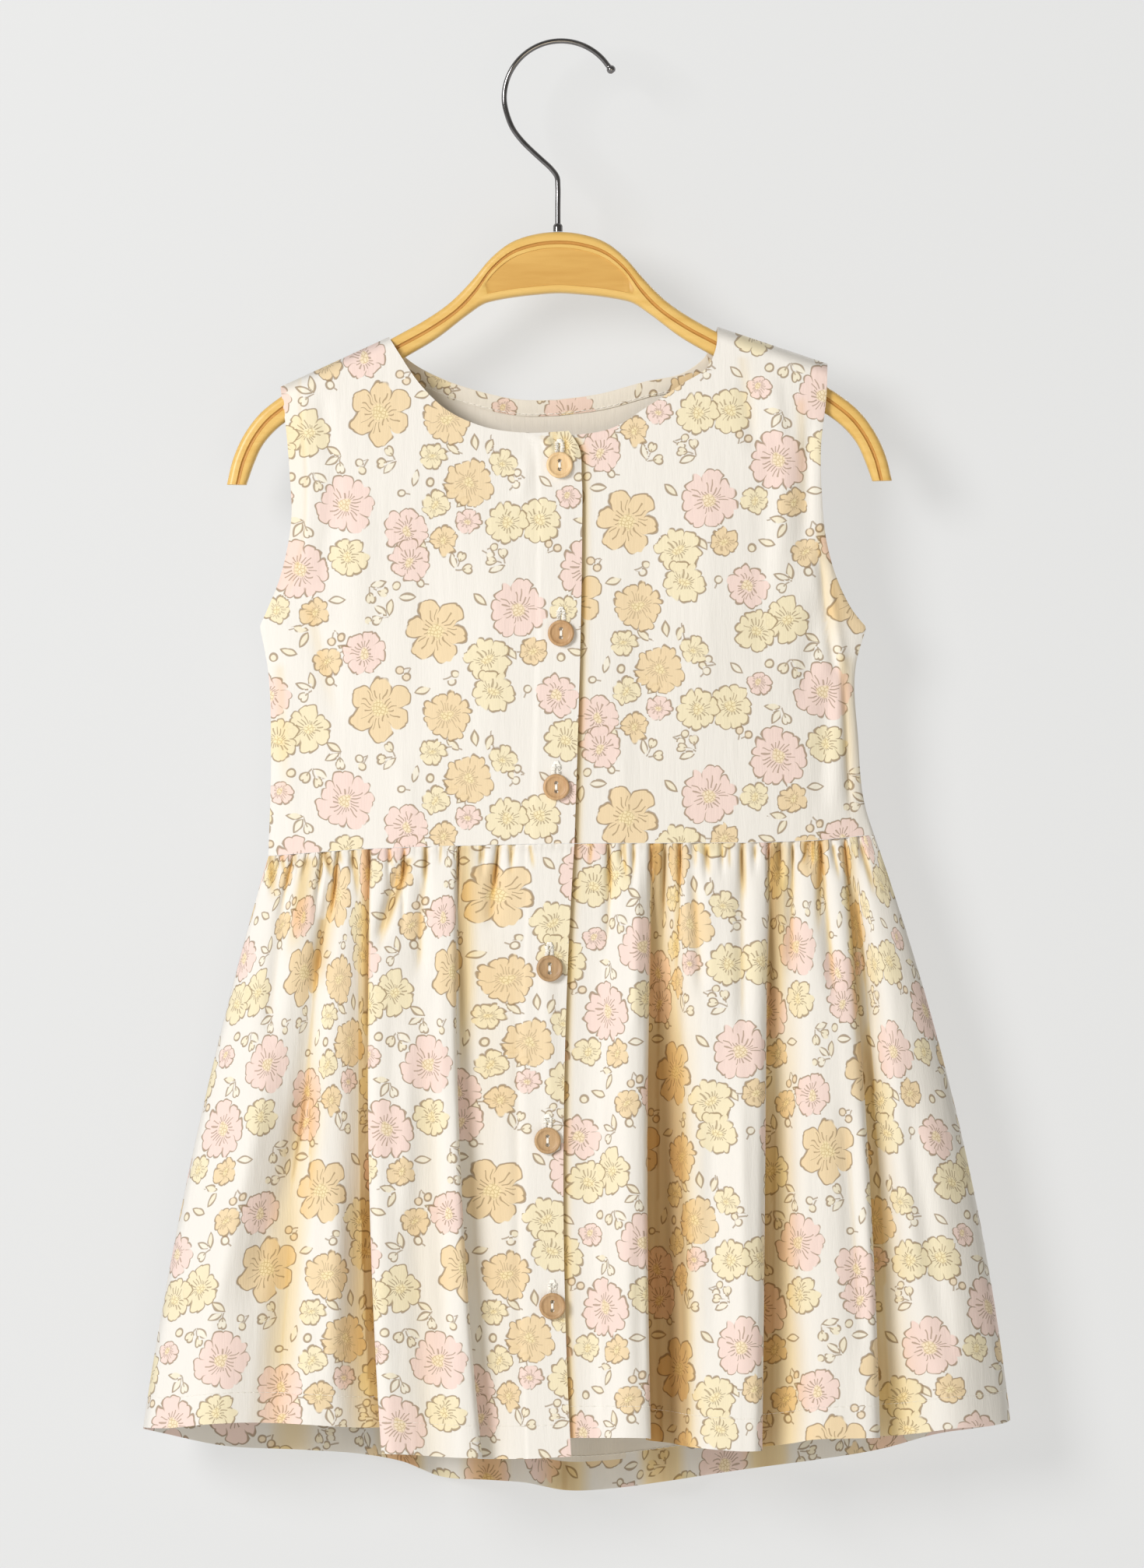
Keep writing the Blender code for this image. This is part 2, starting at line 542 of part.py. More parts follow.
def button_mesh():
    """A flat disc with a raised rim, its back on z = 0."""
    radius, height = BUTTON_DIAMETER / 2, BUTTON_THICKNESS
    profile = [(0.0, 0.0), (radius - 0.9, 0.0), (radius, 0.9), (radius - 0.15, height - 0.25),
               (radius - 0.9, height), (radius - 1.9, height - 0.7), (0.0, height - 0.8)]
    bm = turned(profile, BUTTON_SEGMENTS)
    mesh = bpy.data.meshes.new("button")
    bm.to_mesh(mesh)
    bm.free()
    return mesh


def hole_cutter(name):
    """Two rods, one above the other, that cut the thread holes."""
    bm = bmesh.new()
    for side in (-1, 1):
        made = bmesh.ops.create_cone(bm, cap_ends=True, segments=8, radius1=BUTTON_HOLE_DIAMETER / 2 * MM,
                                     radius2=BUTTON_HOLE_DIAMETER / 2 * MM, depth=3 * BUTTON_THICKNESS * MM)
        bmesh.ops.translate(bm, verts=made["verts"], vec=(0, side * BUTTON_HOLE_SPACING / 2 * MM, 0))
    mesh = bpy.data.meshes.new(name)
    bm.to_mesh(mesh)
    bm.free()
    cutter = bpy.data.objects.new(name, mesh)
    bpy.context.scene.collection.objects.link(cutter)
    cutter.hide_render = True
    cutter.display_type = "WIRE"
    return cutter


def add_buttons(fronts):
    """Each button lies on the over front, tilted as the cloth is there."""
    trees = []
    for front in fronts:
        mesh = front.data
        trees.append(BVHTree.FromPolygons([v.co for v in mesh.vertices],
                                          [tuple(p.vertices) for p in mesh.polygons]))
    reach = BUTTON_SEAT_SHARE * BUTTON_DIAMETER / 2 * MM
    for k, (x, z) in enumerate(BUTTON_CENTRES):
        seats = []
        for turn in range(12):
            angle = 2 * math.pi * turn / 12
            start = Vector((x * MM + reach * math.cos(angle), -0.2, z * MM + reach * math.sin(angle)))
            hits = [tree.ray_cast(start, Vector((0, 1, 0)))[0] for tree in trees]
            seats.append(min((h for h in hits if h is not None), key=lambda h: h.y))
        normal = Vector((0, 0, 0))
        centre = sum(seats, Vector((0, 0, 0))) / len(seats)
        for a, b in zip(seats, seats[3:] + seats[:3]):
            normal += (b - centre).cross(a - centre)
        normal.normalize()
        if normal.y > 0:
            normal = -normal
        proud = max((seat - centre).dot(normal) for seat in seats)
        middle = Vector((x * MM, -0.2, z * MM))
        centre_hit = min((tree.ray_cast(middle, Vector((0, 1, 0)))[0] or centre for tree in trees),
                         key=lambda h: h.y)
        proud = max(proud, (centre_hit - centre).dot(normal))
        mesh = button_mesh()
        button = add_object(f"button_{k + 1}", mesh, BUTTON_COLOURS[k], 0.45)
        up = (Vector((0, 0, 1)) - normal * normal.z).normalized()
        across = up.cross(normal)
        button.rotation_euler = Matrix((across, up, normal)).transposed().to_euler()
        button.location = centre + normal * (proud + SEAM_GAP * MM)
        cutter = hole_cutter(f"button_{k + 1}_holes")
        cutter.parent = button
        cut = button.modifiers.new("thread holes", "BOOLEAN")
        cut.operation = "DIFFERENCE"
        cut.solver = "EXACT"
        cut.object = cutter


def hanger_section(top, bottom):
    """Outline of the bar between a top and a bottom point, with the groove in its front."""
    top, bottom = Vector((top[0], 0, top[1])), Vector((bottom[0], 0, bottom[1]))
    down = (bottom - top).normalized()
    height = (bottom - top).length
    half, rounding = HANGER_DEPTH / 2, HANGER_EDGE_ROUND
    soft = rounding * (1 - math.sqrt(0.5))
    front = [(half - rounding, 0.0), (half - soft, soft), (half, rounding),
             (half, GROOVE_BELOW_TOP - GROOVE_WIDTH / 2),
             (half - GROOVE_DEPTH, GROOVE_BELOW_TOP - GROOVE_WIDTH / 4),
             (half - GROOVE_DEPTH, GROOVE_BELOW_TOP + GROOVE_WIDTH / 4),
             (half, GROOVE_BELOW_TOP + GROOVE_WIDTH / 2),
             (half, height - rounding), (half - soft, height - soft), (half - rounding, height)]
    back = [(half - rounding, height), (half - soft, height - soft), (half, height - rounding),
            (half, rounding), (half - soft, soft), (half - rounding, 0.0)]
    return ([top + down * d + Vector((0, -y, 0)) for y, d in front]
            + [top + down * d + Vector((0, y, 0)) for y, d in back])


def loft(name, rings):
    """A closed solid through rings of as many points each."""
    bm = bmesh.new()
    made = [[bm.verts.new(p * MM) for p in ring] for ring in rings]
    for low, high in zip(made[:-1], made[1:]):
        for k in range(len(low)):
            j = (k + 1) % len(low)
            bm.faces.new((low[k], low[j], high[j], high[k]))
    bm.faces.new(made[0][::-1])
    bm.faces.new(made[-1])
    bmesh.ops.recalc_face_normals(bm, faces=bm.faces[:])
    mesh = bpy.data.meshes.new(name)
    bm.to_mesh(mesh)
    bm.free()
    mesh.shade_smooth()
    mesh.set_sharp_from_angle(angle=math.radians(40))
    return mesh


def add_hanger():
    """The wooden bar, shifted so that its centre is at the hook, and slightly tilted."""
    half = list(HANGER_SECTIONS)
    rows = [(-a, b, -c, d) for a, b, c, d in half[:0:-1]] + half
    rings = [hanger_section((a, b), (c, d)) for a, b, c, d in rows]
    wood = add_object("hanger_wood", loft("hanger_wood", rings), (0.78, 0.50, 0.20), 0.45)
    tilt = math.radians(HANGER_TILT)
    pivot = Vector((HANGER_CENTRE_X, 0, HANGER_SECTIONS[0][1])) * MM
    wood.rotation_euler = (0, tilt, 0)
    turned_pivot = Vector((pivot.z * math.sin(tilt), 0, pivot.z * math.cos(tilt)))
    wood.location = pivot - turned_pivot


def hook_route():
    """Middle line of the hook's wire from its foot on the bar to the ball, with its radius."""
    wire = HOOK_WIRE / 2
    foot = HANGER_SECTIONS[0][1] + SEAM_GAP
    rows = [(HANGER_CENTRE_X, foot, HOOK_COLLAR / 2), (HANGER_CENTRE_X, foot + 2.6, HOOK_COLLAR / 2),
            (HANGER_CENTRE_X, foot + 3.4, HOOK_COLLAR / 2 - 0.4), (HANGER_CENTRE_X, foot + 3.8, wire),
            (HANGER_CENTRE_X, -75.0, wire), (HANGER_CENTRE_X, -66.5, wire), (-1.9, -62.2, wire),
            (-4.4, -58.6, wire), (-8.6, -54.6, wire), (-13.2, -50.4, wire), (-18.2, -45.4, wire),
            (-22.4, -39.8, wire), (-25.2, -33.0, wire)]
    radius = HOOK_RADIUS + HOOK_WIRE / 2
    centre_z = wire - radius
    for step in range(18):
        angle = math.radians(180.0 + 2.0 - step * 8.7)
        rows.append((radius * math.cos(angle), centre_z + radius * math.sin(angle), wire))
    ball = HOOK_BALL / 2
    last = np.array(rows[-1][:2])
    run = last - np.array(rows[-2][:2])
    run /= np.linalg.norm(run)
    for ahead, share in ((0.6, 0.66), (1.1, 0.88), (2.1, 1.0), (3.2, 0.86), (3.9, 0.5)):
        point = last + run * ahead
        rows.append((point[0], point[1], ball * share))
    return rows


def add_hook():
    rows = np.array(hook_route())
    points = rows[:, :2]
    along = np.gradient(points, axis=0)
    along /= np.linalg.norm(along, axis=1)[:, None]
    along[:4] = (0.0, 1.0)
    rings = []
    for (x, z, radius), (dx, dz) in zip(rows, along):
        across = Vector((-dz, 0, dx))
        depth = Vector((0, 1, 0))
        rings.append([Vector((x, 0, z)) + (across * math.cos(a) + depth * math.sin(a)) * radius
                      for a in (2 * math.pi * k / 10 for k in range(10))])
    add_object("hanger_hook", loft("hanger_hook", rings), (0.7, 0.7, 0.72), 0.12, 1.0)


def main():
    for old in list(bpy.data.objects):
        bpy.data.objects.remove(old, do_unlink=True)
    top = bodice_front("bodice_front_over", OVER, True, True)
    bodice_front("bodice_front_under", UNDER, False, False)
    bodice_back("bodice_back")
    skirt = skirt_panel("skirt_front_over", SKIRT_OVER, True, True)
    skirt_panel("skirt_front_under", SKIRT_UNDER, False, False)
    skirt_panel("skirt_back", SKIRT_BACK, False, False)
    neck_facing("neck_facing_back")
    add_buttons((top, skirt))
    add_hanger()
    add_hook()


main()
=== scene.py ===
"""Looks of a toddler's sleeveless button-front dress on a wooden hanger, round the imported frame.

Lengths are in millimetres until a mesh is made. X runs to the viewer's right, Y away from the
viewer and Z up, from the inside of the hook's crown. The wearer's right side is at -X.
"""

import math

import bmesh
import bpy
import numpy as np
from mathutils import Matrix, Vector
from mathutils.bvhtree import BVHTree


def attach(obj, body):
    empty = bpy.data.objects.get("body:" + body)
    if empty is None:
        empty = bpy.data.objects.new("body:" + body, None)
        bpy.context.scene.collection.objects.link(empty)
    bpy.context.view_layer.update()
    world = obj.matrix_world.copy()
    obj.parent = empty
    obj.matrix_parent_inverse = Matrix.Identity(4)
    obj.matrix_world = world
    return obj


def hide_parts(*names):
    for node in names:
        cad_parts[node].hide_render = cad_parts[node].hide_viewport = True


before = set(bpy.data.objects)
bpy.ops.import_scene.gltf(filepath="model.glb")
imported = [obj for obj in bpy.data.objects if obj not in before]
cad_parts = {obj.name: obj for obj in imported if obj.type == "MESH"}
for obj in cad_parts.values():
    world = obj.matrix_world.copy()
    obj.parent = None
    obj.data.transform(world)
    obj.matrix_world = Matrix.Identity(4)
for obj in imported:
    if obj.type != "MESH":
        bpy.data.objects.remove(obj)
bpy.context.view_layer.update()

MM = 0.001

# The photograph's frame, measured on the plane of the dress
PHOTO_SIZE = (1470, 2014)
PHOTO_MM_PER_PIXEL = 0.363
PHOTO_ORIGIN = (721, 56)
LENS = 200.0
SENSOR = 36.0
CAMERA_X = (PHOTO_SIZE[0] / 2 - PHOTO_ORIGIN[0]) * PHOTO_MM_PER_PIXEL
CAMERA_Z = (PHOTO_ORIGIN[1] - PHOTO_SIZE[1] / 2) * PHOTO_MM_PER_PIXEL
CAMERA_DISTANCE = PHOTO_SIZE[1] * PHOTO_MM_PER_PIXEL * LENS / SENSOR

# Cloth
CLOTH = 0.7
SEAM_GAP = 0.3
SIDE_OUT = 0.75
PLACKET_WIDTH = 21.0
PLACKET_RAISE = 0.5
UNDERLAP_DROP = 1.9
SHOULDER_ROLL_HEIGHT = 6.0
NECK_SHARE = 0.42
UNDERARM_SHARE = 0.56
GATHER_AT_SEAM = 0.55
GATHER_RISE = 5.0
HEM_DEPTH = 16.0
FACING_WIDTH = 7.5
FACING_INSET = 0.68

# Buttons
BUTTON_DIAMETER = 12.3
BUTTON_THICKNESS = 2.3
BUTTON_HOLE_DIAMETER = 1.9
BUTTON_HOLE_SPACING = 3.8

# Hanger
HANGER_DEPTH = 11.0
HANGER_TILT = -0.35
HANGER_CENTRE_X = -1.5
HANGER_EDGE_ROUND = 2.6
GROOVE_BELOW_TOP = 5.0
GROOVE_WIDTH = 1.7
GROOVE_DEPTH = 0.8
HOOK_WIRE = 2.5
HOOK_RADIUS = 25.3
HOOK_BALL = 4.2
HOOK_COLLAR = 4.4

# Seam lines seen from the front, each a row of (x, z) from the shoulder down
ARMHOLE_RIGHT_SIDE = [
    (-130.7, -160.3), (-128.4, -177), (-126.4, -200), (-125.6, -221.8), (-128, -238), (-131.5, -251),
    (-136, -262), (-140.5, -271.9),
]
SIDE_SEAM_RIGHT = [
    (-140.5, -271.9), (-137, -290), (-135.3, -330), (-136.5, -378.8),
]
ARMHOLE_LEFT_SIDE = [
    (124.1, -149.6), (123.8, -162), (121, -190), (121.4, -209), (124.1, -234.5), (130.5, -254.5),
    (136.2, -265), (142.3, -272.3),
]
SIDE_SEAM_LEFT = [
    (142.3, -272.3), (137.8, -288), (138.6, -325), (141.9, -356), (145.9, -368.8),
]
NECK_FRONT_OVER = [
    (-80.2, -137.1), (-76.2, -143.5), (-65.3, -159.4), (-54.1, -170.2), (-37.4, -178.2), (-15.2, -181.5),
    (3.6, -180.6),
]
NECK_FRONT_UNDER = [
    (73, -132.4), (72.4, -141), (68.5, -150.5), (57, -158.3), (40.3, -169.2), (23.6, -179.3), (4.7, -182.6),
    (-12, -183),
]
NECK_BACK_RIGHT = [
    (-80.2, -137.1), (-73, -145.9), (-53, -157.2), (-37.4, -162.3), (-18, -166.1), (-2, -166),
]
NECK_BACK_LEFT = [
    (73, -132.4), (67.5, -145.5), (58, -153), (39.2, -157.5), (18, -163.3), (-2, -166),
]
FRONT_EDGE_OVER = [
    (3.6, -180.6), (8.2, -188), (9.6, -202), (9.8, -227.6), (9.2, -270), (7.9, -320), (6.2, -372.8),
]
FRONT_EDGE_UNDER = [(-12.0, -183.0)] + [(x - PLACKET_WIDTH, z) for x, z in FRONT_EDGE_OVER[3:]]
BACK_CENTRE = [
    (-2, -167), (-0.5, -230), (1.5, -300), (3, -373),
]
WAIST_SEAM = [
    (-136.5, -378.8), (-89.3, -375.5), (-45, -374), (6.2, -373), (50, -372.8), (100, -372.3), (123, -371.2),
    (145.9, -368.8),
]

# How far the cloth stands from the hanger's middle plane
# Columns: z, at the side edge, at the centre, fullness between them
FRONT_DEPTH = [
    (-130, 8.2, 8.6, 1), (-182, 8.2, 9.8, 3), (-228, 8.2, 12.2, 7), (-250, 6.6, 13, 9), (-262, 4, 13.4, 10),
    (-272, SIDE_OUT, 13.8, 11), (-320, SIDE_OUT, 14.6, 12), (-380, SIDE_OUT, 15.2, 12),
]
BACK_DEPTH = [
    (-130, 8.2, 8.4, 1), (-168, 8.2, 8.8, 2), (-228, 8.2, 10.2, 6), (-250, 6.6, 11, 8), (-262, 4, 11.4, 9),
    (-272, SIDE_OUT, 11.8, 10), (-320, SIDE_OUT, 12.4, 11), (-380, SIDE_OUT, 13, 12),
]

# Skirt folds, each row a ridge or a trough line
# Columns: x at the waist, half way down and at the hem; out half way down and at the hem; z of the hem
FOLDS_OVER = [
    (-136.5, -170.5, -194.9, SIDE_OUT, SIDE_OUT, -645.1), (-134.5, -168.5, -192.5, 7, 9, -645.4),
    (-130, -162, -185, 13, 16, -645.6), (-119, -142, -162, 21, 27, -643.6),
    (-113, -131, -148, 18, 24, -643), (-108, -121, -133, 13.5, 19, -643.2),
    (-103, -111, -118, 18.5, 25, -644), (-99, -103, -106, 18, 24.5, -644.8),
    (-94, -92, -92, 12, 17, -645.4), (-91.5, -84, -80.5, 10, 15, -646), (-90, -82, -77, 13, 18.5, -649),
    (-88.8, -86.5, -80, 21, 28.5, -655.5), (-88, -89.5, -83.5, 26, 33, -657.3),
    (-84, -87, -80.5, 28.5, 35.5, -657.6), (-76, -77, -70, 27.5, 34.5, -658),
    (-68, -68, -61, 25.5, 32.5, -658.6), (-59, -59, -52, 27.5, 34, -659.2),
    (-54, -53, -43.5, 29.5, 36, -659.5), (-50.5, -48.5, -38.5, 28.5, 35, -659.6),
    (-48.5, -47.5, -37, 23.5, 30.5, -659.7), (-46.5, -49, -38.5, 18.5, 26.5, -659.8),
    (-43, -44, -33, 16, 24.5, -659.9), (-34, -37, -28, 16.5, 25, -659.9),
    (-15, -20, -16.5, 18.5, 26.5, -659.9), (6.2, 1.1, 4.7, 19, 27, -658.8),
]
FOLDS_UNDER = [
    (145.9, 186, 209.5, SIDE_OUT, SIDE_OUT, -641.6), (144.8, 184, 207, 6, 8, -643),
    (143, 179.5, 201, 11, 14, -644.4), (139, 164, 181, 17.5, 23.5, -646), (137, 156, 168, 15, 20.5, -647.8),
    (135, 147, 155, 10.5, 15.5, -649), (133.5, 140.5, 147.5, 10, 15, -649.3),
    (132.5, 138, 145, 13.5, 19, -649.6), (131, 142.5, 148.5, 19, 26, -649.9),
    (128, 141, 147, 22.5, 30, -650.1), (121, 130, 135, 23.5, 31, -650.4),
    (114, 116, 118, 22.5, 29.5, -650.9), (107, 107.5, 108, 16.5, 22.5, -652.6),
    (101, 98, 96, 13.5, 19, -654), (98.5, 91.5, 90, 13, 18.5, -654.6), (97.3, 90.5, 89, 17.5, 23.5, -655.4),
    (96, 95, 93.5, 24, 30.5, -656), (93, 93, 91.5, 28.5, 35, -656.3), (84, 85, 85, 29.5, 35.8, -656.4),
    (74, 76, 77, 28, 34.5, -656), (65, 68, 70, 26.5, 32.5, -655.4), (58, 60.5, 62.5, 23, 28.5, -654.6),
    (53, 54.5, 56.5, 14, 18, -653.6), (49, 48.5, 50.5, 7.5, 10, -652.4), (45.5, 42, 43.5, 7, 9.5, -651.6),
    (43.8, 38, 40, 12, 16, -651), (42.8, 40, 41.5, 20, 26, -650.6), (40, 39, 41, 26.5, 32.5, -650.3),
    (32, 31, 32, 29, 35, -650.1), (25, 23, 23, 24, 31, -650.1), (21, 18, 18, 18.5, 25.5, -650.1),
    (15, 12, 13, 16.8, 24.5, -650.1), (9, 5, 8, 17, 24.8, -650.1), (-15, -20, -16.3, 16, 23.8, -650.1),
]
FOLDS_BACK = [
    (-136.5, -170.5, -194.9, SIDE_OUT, SIDE_OUT, -645.8), (-131, -163, -185, 13, 16, -648),
    (-118, -140, -158, 20, 25, -653.6), (-103, -112, -120, 13, 17, -655.6), (-90, -92, -94, 24, 30, -657.4),
    (-74, -74, -74, 12, 16, -661), (-60, -58, -56, 26, 31, -668), (-38, -36, -34, 15, 20, -669.6),
    (-18, -17, -16, 25, 31, -671), (0, 1, 2, 14, 19, -674.4), (20, 21, 22, 26, 33, -673.8),
    (42, 45, 48, 15, 20, -670.4), (60, 66, 70, 25, 32, -667), (80, 88, 95, 14, 19, -663.4),
    (98, 112, 122, 24, 30, -659.8), (118, 138, 150, 13, 18, -655), (133, 160, 176, 19, 24, -648),
    (141, 178, 199, 11, 14, -644.6), (145.9, 186, 209.5, SIDE_OUT, SIDE_OUT, -641.8),
]

# Gathers let into the waist seam
# Columns: x, how deep the pinch is, how far down it runs
GATHERS_OVER = [
    (-130.6, 1.8, 22), (-124.6, 2.4, 34), (-118, 1.8, 16), (-111.1, 2.2, 40), (-104, 2.4, 60),
    (-97.4, 1.8, 18), (-89, 2.6, 40), (-80, 1.8, 20), (-73, 2.6, 48), (-62.4, 2.2, 30), (-47.6, 2.6, 44),
    (-36, 1.8, 20), (-29.4, 2.2, 26), (-22.4, 1.6, 16),
]
GATHERS_UNDER = [
    (22.5, 2, 24), (28.3, 1.8, 16), (34, 2.2, 30), (42, 2.4, 44), (48.5, 2.6, 60), (55.5, 2.4, 46),
    (61.4, 1.6, 14), (67.4, 2.2, 24), (75, 2, 18), (84, 2.4, 32), (90.4, 1.8, 18), (97, 2.6, 42),
    (102.4, 2, 22), (108, 2.2, 28), (115.4, 1.8, 16), (121, 2.4, 34), (126.4, 1.8, 18), (132.1, 2.4, 40),
    (139, 1.8, 20),
]
BACK_GATHERS = 34
BACK_GATHER_SPAN = (-130.0, 139.0)

# Buttons down the front edge, (x, z) of each centre
BUTTON_CENTRES = [
    (-0.7, -197.1), (0, -275.2), (-2.2, -346.7), (-5.4, -430.9), (-6.2, -510.7), (-4, -587.3),
]

# Wooden bar, left half: x and z of a point on the top edge, then of its partner on the bottom edge
HANGER_SECTIONS = [
    (0, -88, 0, -116.3), (11.5, -89.2, 11, -117), (22.7, -93.2, 21.5, -118.2), (31.8, -100.5, 29.5, -119.6),
    (39.5, -109.6, 35, -121.2), (48.6, -119, 43, -126.6), (62, -128.6, 57, -137.2),
    (75, -135.7, 71, -145.4), (102, -150, 98, -159.8), (130, -164.3, 125.5, -174),
    (139.2, -171.6, 132.6, -179.6), (146.5, -181, 138.5, -186.6), (152, -192.7, 142.6, -195.4),
    (155, -204.7, 146, -204.9),
]


def smooth_step(t):
    t = np.clip(t, 0.0, 1.0)
    return t * t * (3.0 - 2.0 * t)


def run_along(rows):
    """How far along the chain of points each one lies."""
    return np.concatenate([[0.0], np.cumsum(np.linalg.norm(np.diff(rows, axis=0), axis=1))])


def smooth_curve(points):
    """A curve through the points, as a function of the share of its chord length."""
    rows = np.array(points, float)
    knots = run_along(rows)
    knots /= knots[-1]
    slopes = np.gradient(rows, knots, axis=0)

    def at(share):
        share = np.clip(np.atleast_1d(np.asarray(share, float)), 0.0, 1.0)
        i = np.clip(np.searchsorted(knots, share, side="right") - 1, 0, len(knots) - 2)
        span = (knots[i + 1] - knots[i])[:, None]
        t = (share - knots[i])[:, None] / span
        start, end = rows[i], rows[i + 1]
        return (start * (1 + 2 * t) * (1 - t) ** 2 + slopes[i] * span * t * (1 - t) ** 2
                + end * t * t * (3 - 2 * t) + slopes[i + 1] * span * t * t * (t - 1))

    return at


def joined(first, second, corner):
    """Two curves end to end, with the corner between them at the given share."""
    one, two = smooth_curve(first), smooth_curve(second)

    def at(share):
        share = np.asarray(share, float)
        head = one(np.minimum(share / corner, 1.0))
        tail = two(np.maximum((share - corner) / (1.0 - corner), 0.0))
        return np.where((share <= corner)[:, None], head, tail)

    return at


def x_of_z(points):
    """x of a line that runs down, as a function of z."""
    dense = smooth_curve(points)(np.linspace(0, 1, 60))
    return lambda z: np.interp(-np.asarray(z, float), -dense[:, 1], dense[:, 0])


def waist_z(x):
    dense = smooth_curve(WAIST_SEAM)(np.linspace(0, 1, 80))
    return np.interp(x, dense[:, 0], dense[:, 1])


def patch(left, right, top, bottom, us, vs):
    """A surface patch between four edges, as rows of (x, z)."""
    u = us[None, :, None]
    v = vs[:, None, None]
    side_a, side_b = left(vs)[:, None, :], right(vs)[:, None, :]
    head, foot = top(us)[None, :, :], bottom(us)[None, :, :]
    ends = ((1 - u) * (1 - v) * head[:, :1] + u * (1 - v) * head[:, -1:]
            + (1 - u) * v * foot[:, :1] + u * v * foot[:, -1:])
    return (1 - u) * side_a + u * side_b + (1 - v) * head + v * foot - ends


class Bodice:
    """One bodice half: its four edges, and how far each point stands out."""

    def __init__(self, armhole, side, neck, centre_line, depth, facing_sign, drop=0.0, cover=None):
        self.side_line = joined(armhole, side, UNDERARM_SHARE)
        self.centre_line = joined(neck, centre_line, NECK_SHARE)
        self.shoulder = np.array([armhole[0], neck[0]])
        self.foot = np.array([side[-1], centre_line[-1]])
        self.side_x = x_of_z(armhole + side[1:])
        self.centre_x = x_of_z(cover or centre_line)
        self.depth = np.array(depth)
        self.sign = facing_sign
        self.drop = drop

    def top(self, us):
        return self.shoulder[0] + (self.shoulder[1] - self.shoulder[0]) * us[:, None]

    def bottom(self, us):
        x = self.foot[0, 0] + (self.foot[1, 0] - self.foot[0, 0]) * us
        return np.stack([x, waist_z(x) + SEAM_GAP / 2], axis=-1)

    def out(self, x, z):
        z_rows, edge, centre, fullness = (-self.depth[:, 0], self.depth[:, 1], self.depth[:, 2],
                                          self.depth[:, 3])
        at = -z
        side, middle = self.side_x(z), self.centre_x(z)
        across = np.clip((x - side) / (middle - side), 0.0, 1.0)
        base = (np.interp(at, z_rows, edge) * (1 - across)
                + (np.interp(at, z_rows, centre) - self.drop) * across
                + np.interp(at, z_rows, fullness) * np.sqrt(across) * (1 - across))
        (x0, z0), (x1, z1) = self.shoulder
        below = z0 + (x - x0) * (z1 - z0) / (x1 - x0) - z
        roll = np.sqrt(1 - (1 - np.clip(below / SHOULDER_ROLL_HEIGHT, 0.0, 1.0)) ** 2)
        return np.maximum(base * roll, SEAM_GAP / 2)

    def flat(self, us, vs):
        """Rows of (x, z)."""
        points = patch(self.side_line, self.centre_line, self.top, self.bottom, us, vs)
        points[-1, :, 1] = waist_z(points[-1, :, 0]) + SEAM_GAP / 2
        return points

    def shoulder_normal(self):
        (x0, z0), (x1, z1) = self.shoulder
        along = np.array([x1 - x0, 0.0, z1 - z0])
        along /= np.linalg.norm(along)
        normal = np.array([-along[2], 0.0, along[0]])
        return normal if normal[2] > 0 else -normal


OVER = Bodice(ARMHOLE_RIGHT_SIDE, SIDE_SEAM_RIGHT, NECK_FRONT_OVER, FRONT_EDGE_OVER, FRONT_DEPTH, -1)
UNDER = Bodice(ARMHOLE_LEFT_SIDE, SIDE_SEAM_LEFT, NECK_FRONT_UNDER, FRONT_EDGE_UNDER, FRONT_DEPTH, -1,
               drop=UNDERLAP_DROP, cover=FRONT_EDGE_OVER)
BACK_RIGHT = Bodice(ARMHOLE_RIGHT_SIDE, SIDE_SEAM_RIGHT, NECK_BACK_RIGHT, BACK_CENTRE, BACK_DEPTH, 1)
BACK_LEFT = Bodice(ARMHOLE_LEFT_SIDE, SIDE_SEAM_LEFT, NECK_BACK_LEFT, BACK_CENTRE, BACK_DEPTH, 1)


def through_three(waist, middle, hem, t):
    """The parabola through a value at the waist, half way down and at the hem."""
    return waist * (1 - t) * (1 - 2 * t) + 4 * middle * t * (1 - t) + hem * t * (2 * t - 1)


class Skirt:
    """One skirt panel: fold lines across it, and gathers pinched into its top."""

    def __init__(self, folds, gathers, waist_out, facing_sign):
        self.rows = np.array(folds)
        self.gathers = np.array(gathers)
        self.waist_out = waist_out
        self.sign = facing_sign
        self.curve = smooth_curve(folds)
        length = np.linalg.norm(np.diff(self.rows, axis=0), axis=1)
        self.shares = np.concatenate([[0.0], np.cumsum(length)]) / length.sum()

    def surface(self, shares, levels):
        """x, out, z and the waist's x of every point, before the small creases."""
        t = levels[:, None]
        x_waist, x_middle, x_hem, out_middle, out_hem, z_hem = self.curve(shares).T
        x = through_three(x_waist[None, :], x_middle[None, :], x_hem[None, :], t)
        top = waist_z(x_waist) - SEAM_GAP / 2
        z = top[None, :] + (z_hem[None, :] - top[None, :]) * t
        out = through_three(self.waist_out(x_waist)[None, :], out_middle[None, :], out_hem[None, :], t)
        return x, out, z, x_waist, top


def front_waist_out(panel):
    return lambda x: panel.out(x, waist_z(x))


def back_out(x, z, centre):
    return np.where(x < centre, BACK_RIGHT.out(x, z), BACK_LEFT.out(x, z))


def back_waist_out(x):
    return back_out(x, waist_z(x), BACK_CENTRE[-1][0])


def back_gathers():
    """Gathers of the back, spaced and sized as unevenly as the front ones."""
    first, last = BACK_GATHER_SPAN
    pitch = (last - first) / (BACK_GATHERS - 1)
    rows = []
    for k in range(BACK_GATHERS):
        sway = math.sin(2.4 * k) * 0.2 * pitch if 0 < k < BACK_GATHERS - 1 else 0.0
        depth = 2.1 + 0.5 * math.sin(1.7 * k)
        length = 32.0 + 18.0 * math.sin(2.9 * k)
        rows.append((first + k * pitch + sway, depth, length))
    return rows


